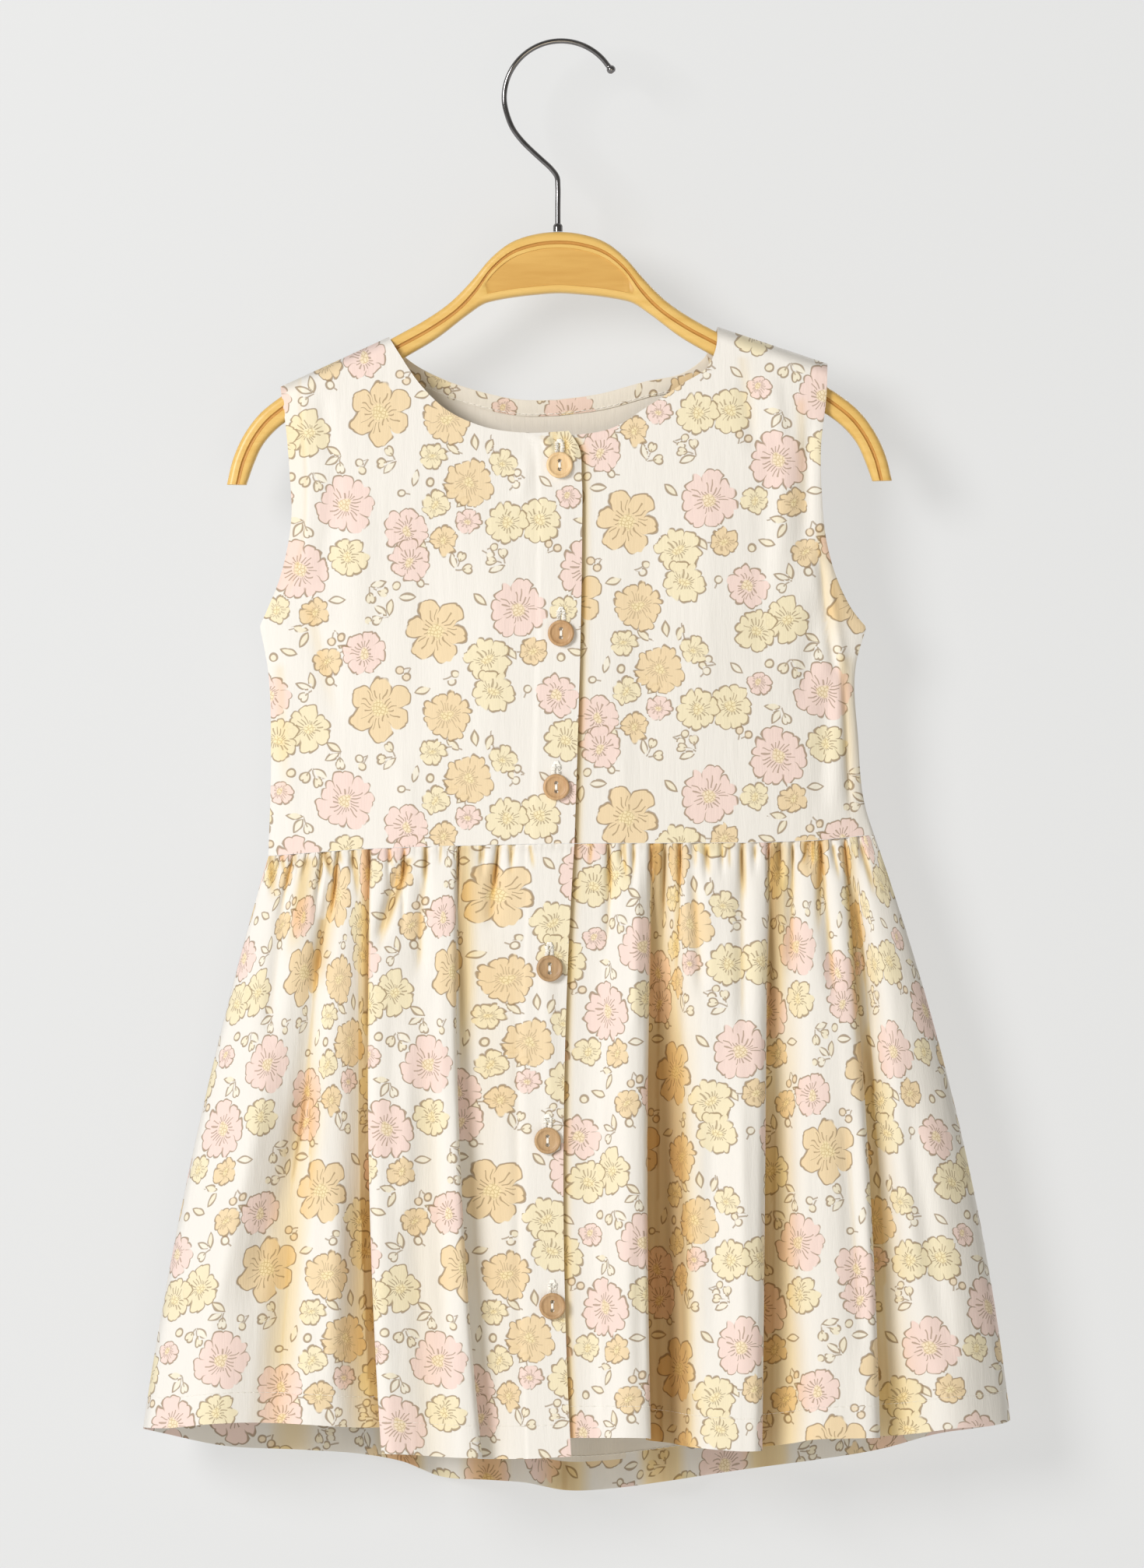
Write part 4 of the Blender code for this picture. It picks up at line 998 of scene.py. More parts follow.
def cloth_piece(name, node, points, normals, quads, flat, valley_shade, turned_in=None, thickness=CLOTH):
    """A closed thin shell round a surface.

    flat is each point's place on the flat cloth. turned_in marks the points where a hem allowance
    lies inside, and gives the height of its fold on the flat cloth.
    """
    count = len(points)
    outer = seen(points + normals * thickness / 2)
    inner = seen(points - normals * thickness / 2)
    edges = open_edges(quads)
    rim = np.stack([edges[:, 1], edges[:, 0], edges[:, 0] + count, edges[:, 1] + count], axis=1)
    inside = quads[:, ::-1]
    faces = np.concatenate([quads, inside + count, rim])
    mesh = bpy.data.meshes.new(name)
    mesh.from_pydata((np.concatenate([outer, inner]) * MM).tolist(), [], faces.tolist())
    mesh.shade_smooth()
    corners = np.concatenate([flat, flat])[faces]
    material = np.zeros(len(faces), np.int32)
    material[len(quads):2 * len(quads)] = 1
    if turned_in is not None:
        mask, fold = turned_in
        hemmed = mask[inside].all(axis=1)
        at = np.nonzero(hemmed)[0] + len(quads)
        material[at] = 0
        corners[at, :, 1] = 2 * fold[inside[hemmed]] - corners[at, :, 1]
    lay_print(mesh, corners)
    # Painted shade of the folds and edges, read by the printed material's ramp
    shade = mesh.attributes.new("valley_shade", "FLOAT", "POINT")
    shade.data.foreach_set("value", np.concatenate([valley_shade, valley_shade]).astype(np.float32))
    made = add_piece(name, mesh, [PRINTED, WRONG_SIDE], [node] if node else [])
    mesh.polygons.foreach_set("material_index", material)
    sharpen_border(mesh, edges.ravel(), count)
    mesh.update()
    return made


CREASE_FADE = 0.3


def creases(x, z, table):
    """Soft troughs and ridges. Columns: x and z of the ends, width, height (negative is a trough)."""
    total = np.zeros_like(x)
    for x0, z0, x1, z1, width, height in table:
        span = np.array([x1 - x0, z1 - z0])
        length = np.linalg.norm(span)
        along = ((x - x0) * span[0] + (z - z0) * span[1]) / length ** 2
        off = ((x - x0) * span[1] - (z - z0) * span[0]) / length
        ends = smooth_step(along / CREASE_FADE) * smooth_step((1 - along) / CREASE_FADE)
        total += height * np.exp(-(off / width) ** 2) * ends
    return total


BODICE_COLUMNS = np.concatenate([np.linspace(0, 0.1, 18)[:-1], np.linspace(0.1, 0.84, 66)[:-1],
                                 np.linspace(0.84, 1.0, 20)])
BODICE_ROWS = np.concatenate([np.linspace(0, 0.035, 14)[:-1], np.linspace(0.035, NECK_SHARE, 46)[:-1],
                              np.linspace(NECK_SHARE, 1.0, 74)])
NECK_ROW = int(np.argmin(abs(BODICE_ROWS - NECK_SHARE)))
SIDE_EASE = 6.0
PLACKET_EASE = 1.2
PLACKET_FADE = (-181.0, 3.0)
# How deep rows of stitches sink, and how wide and how far from the placket's inner edge its own row is
STITCH_DIP = 0.25
STITCH_DIP_WIDTH = 0.8
STITCH_DIP_INSIDE = 0.4
ARMHOLE_CREASE = [
    (-121.5, -150), (-121.6, -166), (-120.4, -183), (-119, -198), (-119, -212), (-119.6, -226),
    (-122.5, -242), (-127.5, -258),
]
ARMHOLE_TURN = 0.42
ARMHOLE_GROOVE = (0.5, 0.9)
# Where the turned armhole strip starts and ends, and over what height it fades
STRIP_TOP = (-150.0, 8.0)
STRIP_FOOT = (-262.0, 14.0)
CREASES_OVER = [
    (-104, -190, -112, -262, 5, -1.3), (-92, -205, -98, -300, 7, 1), (-60, -200, -66, -330, 9, -0.8),
    (-30, -215, -34, -350, 9, 0.7), (-118, -262, -102, -325, 6, -1.1), (-128, -285, -126, -368, 4, 0.8),
    (-75, -330, -70, -372, 5, 0.7), (-15, -190, -19, -215, 3, 0.9), (-8, -183.5, -3, -192, 1.6, 1.6),
    (1.5, -182.5, 3.5, -196, 1.4, -1.5), (6, -186, 6.5, -202, 1.4, 1.3), (-3.5, -182, -1, -190, 1.3, -1.2),
    (-112, -160, -106, -200, 4, -1),
]
CREASES_UNDER = [
    (116, -170, 112, -246, 4, -1.6), (106, -176, 100, -262, 5, 1.2), (95, -190, 92, -300, 6, -0.9),
    (122, -250, 112, -312, 5, -1.5), (131, -285, 128, -365, 4, 1.2), (124, -290, 120, -366, 4, -1),
    (70, -180, 66, -330, 9, 0.8), (40, -200, 38, -350, 9, -0.7), (120, -232, 128.5, -300, 2.6, -2.4),
    (123, -244, 133, -300, 2.2, 1.6), (131.5, -285, 135, -366, 1.8, -1.6), (84, -150, 92, -196, 4, -1.3),
    (97, -152, 104, -190, 3.5, 1.1), (28, -320, 30, -371, 4, 0.6),
]
CREASES_BACK = [
    (-105, -180, -112, -262, 6, -1.4), (-85, -200, -92, -320, 8, 1.1), (-45, -190, -48, -350, 9, -0.9),
    (5, -180, 6, -360, 10, 0.9), (48, -190, 52, -350, 8, -1), (88, -185, 94, -300, 7, 1.1),
    (110, -175, 116, -262, 5, -1.4), (-118, -300, -112, -368, 5, 1), (118, -290, 122, -366, 5, -1.1),
]


def armhole_strip(x, z):
    """How far each point lies inside the strip that turns away at the right armhole, and its fade."""
    above_foot = smooth_step((z - STRIP_FOOT[0]) / STRIP_FOOT[1])
    return x_of_z(ARMHOLE_CREASE)(z) - x, above_foot * smooth_step((STRIP_TOP[0] - z) / STRIP_TOP[1])


def bodice_points(panel, table):
    flat = panel.flat(BODICE_COLUMNS, BODICE_ROWS)
    x, z = flat[..., 0], flat[..., 1]
    out = panel.out(x, z)
    fade = smooth_step((x - panel.side_x(z)) * np.sign(panel.centre_x(z) - panel.side_x(z)) / SIDE_EASE)
    out = out + creases(x, z, table) * fade
    if panel is OVER:
        strip, length = armhole_strip(x, z)
        groove = ARMHOLE_GROOVE[0] * np.exp(-(strip / ARMHOLE_GROOVE[1]) ** 2)
        out = out - (np.maximum(strip, 0.0) * ARMHOLE_TURN + groove) * length
        inner = panel.centre_x(z) - PLACKET_WIDTH
        band = (smooth_step((x - inner) / PLACKET_EASE)
                * smooth_step((PLACKET_FADE[0] - z) / PLACKET_FADE[1]))
        sink = np.exp(-((x - inner - STITCH_DIP_INSIDE) / STITCH_DIP_WIDTH) ** 2)
        out = out + PLACKET_RAISE * band - STITCH_DIP * sink
    return np.stack([x, panel.sign * np.maximum(out, SEAM_GAP / 2), z], axis=-1)


def bodice_normals(panel, points):
    normals = surface_normals(points, panel.sign)
    normals[BODICE_ROWS >= UNDERARM_SHARE, 0] = (0, panel.sign, 0)
    normals[0] = panel.shoulder_normal()
    normals[-1, :, 2] = 0
    return normals / np.linalg.norm(normals, axis=-1, keepdims=True)


# Painted shadow that the over front's edge throws on the under front: how dark, and how far it reaches
EDGE_SHADE = 0.7
EDGE_SHADE_WIDTH = 2.6
# Painted shade on the armhole strip that turns away, and a darker line of painted shade along its crease
STRIP_SHADE = 0.07
STRIP_CREASE_SHADE = 0.16


def edge_shade(off, height):
    """Painted shadow, warm, on the under front just beyond the edge of the over front."""
    return EDGE_SHADE * height * np.exp(-(np.maximum(off, 0.0) / EDGE_SHADE_WIDTH) ** 2)


# Narrow folds and the shade beside them. Columns: x and z at the top, x and z at the foot, how far the
# shade reaches to the left and right, how dark it is, how deep the cloth dips
CRACKS_BODICE = [
    (119.5, -226, 126.5, -296, 0.9, 7, 0.34, 0), (130.5, -286, 135, -372, 1.2, 5, 0.36, 0),
    (84, -146, 91, -192, 2, 3, 0.16, 0), (112, -166, 113, -232, 2.6, 2, 0.22, 0),
    (-117.5, -262, -104, -318, 3, 2, 0.18, 0), (-131, -290, -127, -366, 3, 2, 0.2, 0),
    (1.5, -182, 3.4, -197, 0.9, 1.4, 0.42, 0), (-3.5, -181, -1, -191, 0.9, 0.9, 0.34, 0),
    (-9, -183, -4.5, -190, 0.8, 1, 0.3, 0),
]


# Painted shade of a bodice piece: beside its narrow folds, and by the over front's edge or on the turned
# armhole strip
def bodice_shade(panel, points):
    x, z = points[..., 0], points[..., 2]
    folds = cracks(x, z, CRACKS_BODICE)[0]
    if panel is UNDER:
        lap_shadow = edge_shade(x - panel.centre_x(z), np.where(z < FRONT_EDGE_OVER[0][1] - 3.0, 1.0, 0.0))
        return np.maximum(lap_shadow, folds)
    strip, length = armhole_strip(x, z)
    turned_strip_shade = STRIP_SHADE * smooth_step(strip / 1.2) + STRIP_CREASE_SHADE * np.exp(-(strip / 0.8) ** 2)
    return np.maximum(length * turned_strip_shade, folds)


def build_bodice_front(node, panel, table, flip, print_shift):
    points = bodice_points(panel, table)
    shade = bodice_shade(panel, points)
    normals = bodice_normals(panel, points).reshape(-1, 3)
    rows, columns = points.shape[:2]
    points = points.reshape(-1, 3)
    flat = np.stack([points[:, 0], -points[:, 2]], axis=-1) + print_shift
    return cloth_piece(f"cloth_{node}", node, points, normals, grid_quads(rows, columns, flip), flat,
                       shade.ravel())


def build_bodice_back(print_shift):
    """Both halves, joined down the centre below the neck."""
    halves = [bodice_points(panel, CREASES_BACK) for panel in (BACK_RIGHT, BACK_LEFT)]
    normals = [bodice_normals(panel, half) for panel, half in zip((BACK_RIGHT, BACK_LEFT), halves)]
    rows, columns = halves[0].shape[:2]
    start = rows * columns
    quads = np.concatenate([grid_quads(rows, columns, False), grid_quads(rows, columns, True) + start])
    points = np.concatenate([half.reshape(-1, 3) for half in halves])
    normals = np.concatenate([half.reshape(-1, 3) for half in normals])
    new_index = np.arange(len(points))
    for r in range(NECK_ROW, rows):
        right, left = r * columns + columns - 1, start + r * columns + columns - 1
        points[right] = (points[right] + points[left]) / 2
        normals[right] = normals[right] + normals[left]
        normals[right] /= np.linalg.norm(normals[right])
        new_index[left] = right
    kept = np.nonzero(new_index == np.arange(len(points)))[0]
    packed = np.zeros(len(points), int)
    packed[kept] = np.arange(len(kept))
    quads = packed[new_index[quads]]
    points, normals = points[kept], normals[kept]
    flat = np.stack([-points[:, 0], -points[:, 2]], axis=-1) + print_shift
    return cloth_piece("cloth_bodice_back", "bodice_back", points, normals, quads, flat,
                       np.zeros(len(points)))


SKIRT_COLUMNS = np.linspace(0.0, 1.0, 281)
SKIRT_LEVELS = np.concatenate([np.linspace(0, 0.12, 31)[:-1], np.linspace(0.12, 1.0, 100)])
# The level at which the print is laid across the folds
GAUGE_LEVEL = 0.75
GATHER_HALF_WIDTH = 2.3
GATHER_SHARE = 1.5
CREASE_SHARE = 1.35
SMALL_GATHER_PITCH = 3.3
SMALL_GATHER_DEPTH = 1.5
SMALL_GATHER_RUN = 15.0
SEAM_BULGE = 1.6
SEAM_SINK = 0.4
BULGE_RISE = 4.0
BULGE_FALL = 22.0
PLACKET_EASE_SHARE = 0.008
# How the painted warm shade of the valleys follows from their depth: reach, depth where it starts and is
# full, share
VALLEY_SHADE_SCALES = [(28.0, 0.0, 16.0, 0.80), (5.0, 0.4, 3.2, 0.50), (2.6, 0.3, 2.4, 0.25)]
# In the order of the seam's x: troughs and ridges that cross the folds
CREASES_SKIRT_OVER = [
    (-73.3, -376, -87, -425, 3, -3), (-103, -380, -117, -447, 4, -2.6),
    (-125.6, -380, -138, -475, 4.5, -2.4), (-64, -380, -66, -440, 3.2, -1.8),
    (-30, -376, -33, -415, 3.5, -1.8), (-112, -470, -150, -600, 7, -2.4), (-135, -470, -172, -630, 6, 2),
    (-60, -470, -52, -630, 6, -1.6), (-70, -440, -72, -560, 5, 1.6), (-104, -520, -108, -640, 5, 1.8),
    (-8, -400, -4, -520, 4, 0.8), (-21, -430, -19, -640, 3, -0.7),
]
CREASES_SKIRT_UNDER = [
    (24, -376, 22, -430, 2.6, -2.2), (36, -376, 34, -470, 3, 1.5), (61, -376, 66, -450, 3, -2),
    (84, -376, 85, -470, 3.6, -1.8), (108, -376, 108, -440, 3.2, -2), (121, -376, 128, -450, 3.4, -2.2),
    (133, -376, 150, -470, 3.6, -1.8), (70, -480, 72, -630, 5, -1.8), (110, -470, 112, -620, 4.5, 1.8),
    (132, -480, 142, -630, 5, -2), (158, -480, 184, -630, 6, -2), (150, -440, 168, -600, 5, 1.6),
    (84, -470, 86, -640, 4, 1.4), (36, -540, 37, -640, 3, -1),
]
CREASES_SKIRT_BACK = [
    (-110, -380, -124, -470, 4, -2.2), (-82, -380, -86, -450, 3.5, -2), (-50, -378, -46, -460, 3.5, -2),
    (-10, -378, -8, -440, 3.5, -1.8), (30, -378, 34, -470, 4, -2), (70, -378, 76, -450, 3.5, -2),
    (108, -378, 124, -470, 4, -2.2), (-100, -480, -112, -640, 6, 2), (-20, -480, -22, -650, 5, 1.8),
    (52, -480, 58, -650, 6, -2), (130, -480, 152, -630, 6, -2), (96, -470, 108, -640, 5, 1.8),
]


def small_gathers(x_waist, below):
    """The fine shirring between the larger gathers. The slow sines make it uneven."""
    phase = x_waist / SMALL_GATHER_PITCH + 0.35 * np.sin(x_waist * 0.9) + 0.3 * np.sin(x_waist * 0.37 + 1.0)
    uneven = 0.65 + 0.35 * np.sin(x_waist * 0.53 + 2.0)
    pinch = np.abs(np.sin(np.pi * phase)) ** 0.7
    run = SMALL_GATHER_RUN * (0.7 + 0.5 * np.sin(x_waist * 0.71))
    fade = 1 - smooth_step(below / run[None, :])
    return SMALL_GATHER_DEPTH * ((pinch - 0.7) * uneven)[None, :] * fade


# Narrow folds at the waist and the shade beside fold edges, with the columns of CRACKS_BODICE
CRACKS_OVER = [
    (-136, -376, -134, -402, 1.6, 2.2, 0.75, 0.8), (-130.5, -376, -128, -392, 1, 1.2, 0.6, 0.8),
    (-124, -376, -123.5, -386, 0.9, 0.9, 0.5, 0.6), (-118.7, -380, -127.5, -432, 2.6, 5, 0.55, 0.8),
    (-111.5, -374, -106, -392, 1.2, 2.4, 0.9, 1.2), (-110.5, -408, -117, -448, 2.4, 4.6, 0.6, 0.5),
    (-104, -374, -102, -384, 0.8, 1, 0.7, 0.8), (-97.5, -374, -94.5, -402, 1, 2.2, 0.7, 1),
    (-89.6, -372, -90.6, -520, 3.4, 0.7, 0.95, 0), (-80.5, -374, -78, -386, 0.8, 0.8, 0.6, 0.8),
    (-71, -380, -86.5, -426, 1.3, 1.8, 0.85, 1.1), (-63.5, -372, -64, -394, 0.9, 1.1, 0.95, 1.2),
    (-56, -374, -56.5, -384, 0.8, 0.8, 0.5, 0.6), (-48, -372, -46.4, -500, 0.7, 6.5, 0.75, 0),
    (-37.5, -372, -38.5, -386, 0.8, 1, 0.7, 0.8), (-29, -372, -32.5, -402, 1, 1.3, 0.9, 1.2),
    (-24, -372, -23, -388, 0.9, 1, 0.75, 0.9), (-14.5, -374, -12.5, -386, 0.8, 0.9, 0.6, 0.7),
]
CRACKS_UNDER = [
    (14, -372, 13, -386, 0.9, 1.2, 0.6, 0.7), (22, -372, 24, -398, 1.3, 1, 0.8, 0.9),
    (29.5, -372, 30.5, -392, 1, 0.9, 0.7, 0.8), (42.4, -372, 40.4, -520, 0.7, 8.5, 0.8, 0),
    (55.8, -372, 53.2, -470, 2.6, 0.7, 0.6, 0), (63, -374, 62.5, -386, 0.8, 0.8, 0.5, 0.6),
    (68.5, -374, 69.5, -390, 0.9, 0.9, 0.6, 0.8), (78, -374, 79, -386, 0.8, 0.8, 0.5, 0.6),
    (84.6, -372, 85.6, -402, 1, 1.2, 0.95, 1.2), (90, -374, 90.5, -382, 0.8, 0.8, 0.5, 0.6),
    (98.4, -372, 95.2, -520, 0.7, 7, 0.9, 0), (101.6, -372, 103, -396, 1.1, 1.4, 0.75, 0.8),
    (108, -374, 108.5, -384, 0.8, 0.8, 0.6, 0.6), (114, -372, 113, -384, 0.8, 0.8, 0.8, 0.8),
    (117.5, -372, 117.5, -386, 0.8, 0.8, 0.7, 0.7), (121, -372, 120, -420, 1.8, 1, 0.75, 0.9),
    (127, -374, 130, -392, 0.9, 0.9, 0.6, 0.7), (132.6, -374, 140.6, -500, 1.4, 4, 0.65, 0),
    (140, -374, 147, -400, 1.2, 1.6, 0.7, 0.6),
]
CRACKS_BACK = [(x, -372.0, x * 1.03, -374.0 - length * 0.5, 0.9, 1.2, 0.7, 0.8)
               for x, depth, length in SKIRT_BACK.gathers[::2]]


def cracks(x, z, table):
    """How dark the painted shade beside the narrow folds of a table is, and how deep the cloth dips."""
    shade, dip = np.zeros_like(x), np.zeros_like(x)
    for x_top, z_top, x_foot, z_foot, left, right, dark, deep in table:
        share = (z_top - z) / (z_top - z_foot)
        off = x - (x_top + (x_foot - x_top) * share)
        near = np.exp(-(off / np.where(off < 0, left, right)) ** 2)
        near = near * smooth_step((share + 0.03) / 0.06) * (1 - smooth_step((share - 0.45) / 0.55))
        shade = np.maximum(shade, dark * near)
        dip = np.maximum(dip, deep * near)
    return shade, dip


def painted_valley_shade(x, out):
    """How much painted shade each point gets from how deep it lies between the higher cloth on both sides of
    it.
    """
    columns = out.shape[1]
    total = np.zeros_like(out)
    for reach, start, full, share in VALLEY_SHADE_SCALES:
        left, right = np.zeros_like(out), np.zeros_like(out)
        for c in range(columns):
            near = np.abs(x - x[:, c:c + 1]) < reach
            left[:, c] = np.where(near[:, :c + 1], out[:, :c + 1], -99.0).max(axis=1)
            right[:, c] = np.where(near[:, c:], out[:, c:], -99.0).max(axis=1)
        depth = np.minimum(left, right) - out
        total = total + share * smooth_step((depth - start) / (full - start))
    return np.clip(total, 0.0, 1.0)


def skirt_points(skirt, table, narrow):
    x, out, z, x_waist, top = skirt.surface(SKIRT_COLUMNS, SKIRT_LEVELS)
    below = top[None, :] - z
    for x_pinch, depth, length in skirt.gathers:
        near = np.clip(1 - np.abs(x_waist - x_pinch) / GATHER_HALF_WIDTH, 0.0, 1.0)[None, :]
        rise = GATHER_AT_SEAM + (1 - GATHER_AT_SEAM) * smooth_step(below / GATHER_RISE)
        fade = rise * (1 - smooth_step(below / length))
        out = out - GATHER_SHARE * depth * smooth_step(near) * fade
    out = out + small_gathers(x_waist, below)
    out = out + CREASE_SHARE * creases(x, z, table) * smooth_step(below / BULGE_RISE)
    out = out - cracks(x, z, narrow)[1] * smooth_step(below / 3.0)
    bulge = smooth_step(below / BULGE_RISE) - smooth_step((below - BULGE_RISE) / BULGE_FALL)
    out = out + SEAM_BULGE * bulge - SEAM_SINK
    if skirt is SKIRT_OVER:
        band = smooth_step((SKIRT_COLUMNS - skirt.shares[-2]) / PLACKET_EASE_SHARE)[None, :]
        out = out + PLACKET_RAISE * band
    hem_stitches = STITCH_DIP * np.exp(-(((1 - SKIRT_LEVELS[:, None]) * below[-1] - HEM_DEPTH) / 0.9) ** 2)
    out = np.maximum(out - hem_stitches, SIDE_OUT)
    return np.stack([x, skirt.sign * out, z], axis=-1), out


def build_skirt(node, skirt, table, narrow, flip, print_shift):
    points, out = skirt_points(skirt, table, narrow)
    normals = surface_normals(points, skirt.sign)
    normals[:, 0] = (0, skirt.sign, 0)
    if skirt is SKIRT_BACK:
        normals[:, -1] = (0, skirt.sign, 0)
    rows, columns = out.shape
    # Painted shade: in fold troughs, beside the narrow folds, and on the under front by the over front's
    # edge
    valley_shade = painted_valley_shade(points[..., 0], out)
    valley_shade = np.maximum(valley_shade, cracks(points[..., 0], points[..., 2], narrow)[0])
    if skirt is SKIRT_UNDER:
        edge = SKIRT_OVER.surface(np.array([1.0]), SKIRT_LEVELS)[0]
        valley_shade = np.clip(valley_shade + edge_shade(points[..., 0] - edge, 1.0), 0.0, 1.0)
    gauge = int(np.argmin(abs(SKIRT_LEVELS - GAUGE_LEVEL)))
    across = run_along(points[gauge])
    across = across * np.sign(points[gauge, -1, 0] - points[gauge, 0, 0]) * -skirt.sign
    flat = np.stack(np.broadcast_arrays(across[None, :], -points[..., 2]), axis=-1) + print_shift
    fold = np.broadcast_to(flat[-1:, :, 1], (rows, columns)).ravel()
    to_hem = fold.reshape(rows, columns) - flat[..., 1]
    piece = cloth_piece(f"cloth_{node}", node, points.reshape(-1, 3), normals.reshape(-1, 3),
                        grid_quads(rows, columns, flip), flat.reshape(-1, 2), valley_shade.ravel(),
                        turned_in=((to_hem < HEM_DEPTH).ravel(), fold))
    return piece, points, normals


def facing_line(first_share, drop, inset):
    """Points inside the back, along its neck and below its edge."""
    shares = np.linspace(first_share, 1.0, 60)
    edge = np.concatenate([smooth_curve(NECK_BACK_RIGHT)(shares),
                           smooth_curve(NECK_BACK_LEFT)(shares[:-1])[::-1]])
    along = np.gradient(edge, axis=0)
    along /= np.linalg.norm(along, axis=1)[:, None]
    x, z = (edge + np.stack([along[:, 1], -along[:, 0]], axis=-1) * drop).T
    return np.stack([x, back_out(x, z, BACK_CENTRE[0][0]) - inset, z], axis=-1)


# The share of the neck's edge where the strip starts, its rows, how far it bows and its own thickness
FACING_FROM = 0.16
FACING_ROWS = 9
FACING_BOW = 0.15
FACING_CLOTH = 0.5
# Painted shade laid evenly over the facing inside the back neck
FACING_SHADE = 0.12


def build_neck_facing():
    """The strip turned inside the back neck, its printed side showing."""
    bow = [FACING_BOW * math.sin(math.pi * k / (FACING_ROWS - 1)) for k in range(FACING_ROWS)]
    points = np.stack([facing_line(FACING_FROM, drop, FACING_INSET + bow[k])
                       for k, drop in enumerate(np.linspace(0.3, FACING_WIDTH, FACING_ROWS))])
    normals = np.zeros_like(points)
    normals[..., 1] = -1
    rows, columns = points.shape[:2]
    points, normals = points.reshape(-1, 3), normals.reshape(-1, 3)
    flat = np.stack([points[:, 0] + 40.0, -points[:, 2] + 61.0], axis=-1)
    return cloth_piece("cloth_neck_facing_back", "neck_facing_back", points, normals,
                       grid_quads(rows, columns, True), flat, np.full(len(points), FACING_SHADE),
                       thickness=FACING_CLOTH)


bodice_over = build_bodice_front("bodice_front_over", OVER, CREASES_OVER, True, (10.0, 20.0))
bodice_under = build_bodice_front("bodice_front_under", UNDER, CREASES_UNDER, False, (55.0, 71.0))
bodice_back = build_bodice_back((20.0, 40.0))
skirt_over, *over_grid = build_skirt("skirt_front_over", SKIRT_OVER, CREASES_SKIRT_OVER, CRACKS_OVER, True,
                                     (0.0, 35.0))
skirt_under, *under_grid = build_skirt("skirt_front_under", SKIRT_UNDER, CREASES_SKIRT_UNDER, CRACKS_UNDER,
                                       False, (30.0, 90.0))
skirt_back, *back_grid = build_skirt("skirt_back", SKIRT_BACK, CREASES_SKIRT_BACK, CRACKS_BACK, False,
                                     (70.0, 10.0))
neck_facing = build_neck_facing()


# Buttons and sewing

class Surface:
    """The front of the dress, for what is sewn on it."""

    def __init__(self, pieces):
        self.trees = []
        for piece in pieces:
            mesh = piece.data
            self.trees.append(BVHTree.FromPolygons([v.co for v in mesh.vertices],
                                                   [tuple(p.vertices) for p in mesh.polygons]))

    def at(self, x, z):
        """The point of the front at x and z in metres, and its normal."""
        hits = [tree.ray_cast(Vector((x, -0.3, z)), Vector((0, 1, 0))) for tree in self.trees]
        hits = [hit for hit in hits if hit[0] is not None]
        if not hits:
            return None, None
        return min(hits, key=lambda hit: hit[0].y)[:2]


def add_tube(bm, path, radius, sides=6):
    """A closed tube along a path of points in metres."""
    path = [Vector(p) for p in path]
    rings = []
    side = None
    for k, point in enumerate(path):
        ahead = (path[min(k + 1, len(path) - 1)] - path[max(k - 1, 0)]).normalized()
        if side is None:
            side = ahead.orthogonal().normalized()
        side = (side - ahead * side.dot(ahead)).normalized()
        other = ahead.cross(side)
        rings.append([bm.verts.new(point + (side * math.cos(a) + other * math.sin(a)) * radius)
                      for a in (2 * math.pi * j / sides for j in range(sides))])
    skin(bm, rings)


def add_threads(bm, name):
    add_piece(name, mesh_of(bm, name), [THREAD], [])


BUTTON_SEGMENTS = 48
HOLE_SEGMENTS = 20
BUTTON_SHARP_ANGLE = 42
BUTTON_ROUGHNESS = 0.42
# Waves of the buttons' grain per metre
BUTTON_GRAIN = (900.0, 160.0, 160.0)


def button_profile():
    radius, height = BUTTON_DIAMETER / 2, BUTTON_THICKNESS
    return [(0.0, 0.0), (radius - 1.1, 0.0), (radius - 0.45, 0.25), (radius - 0.1, 0.8), (radius, 1.3),
            (radius - 0.12, 1.85), (radius - 0.45, height - 0.08), (radius - 0.9, height),
            (radius - 1.25, height - 0.12), (radius - 1.6, height - 0.5), (radius - 2.0, height - 0.68),
            (radius - 3.0, height - 0.74), (0.0, height - 0.76)]


def button_mesh(name):
    """A turned wooden disc with a raised rim and two thread holes."""
    bm = bmesh.new()
    rings = []
    for radius, z in button_profile():
        if radius == 0.0:
            rings.append([bm.verts.new((0, 0, z * MM))] * BUTTON_SEGMENTS)
            continue
        rings.append([bm.verts.new((radius * MM * math.cos(2 * math.pi * k / BUTTON_SEGMENTS),
                                    radius * MM * math.sin(2 * math.pi * k / BUTTON_SEGMENTS), z * MM))
                      for k in range(BUTTON_SEGMENTS)])
    skin(bm, rings, capped=False)
    cutter = bmesh.new()
    hole = BUTTON_HOLE_DIAMETER / 2 * MM
    for side in (-1, 1):
        made = bmesh.ops.create_cone(cutter, cap_ends=True, segments=HOLE_SEGMENTS, radius1=hole,
                                     radius2=hole, depth=3 * BUTTON_THICKNESS * MM)
        bmesh.ops.translate(cutter, verts=made["verts"], vec=(0, side * BUTTON_HOLE_SPACING / 2 * MM, 0))
    disc = add_object("disc", mesh_of(bm, "disc"))
    rods = add_object("rods", mesh_of(cutter, "rods"))
    cut = disc.modifiers.new("holes", "BOOLEAN")
    cut.operation = "DIFFERENCE"
    cut.object = rods
    made = bpy.data.meshes.new_from_object(disc.evaluated_get(bpy.context.evaluated_depsgraph_get()))
    for thing in (disc, rods):
        bpy.data.objects.remove(thing)
    made.name = name
    made.shade_smooth()
    made.set_sharp_from_angle(angle=math.radians(BUTTON_SHARP_ANGLE))
    return made


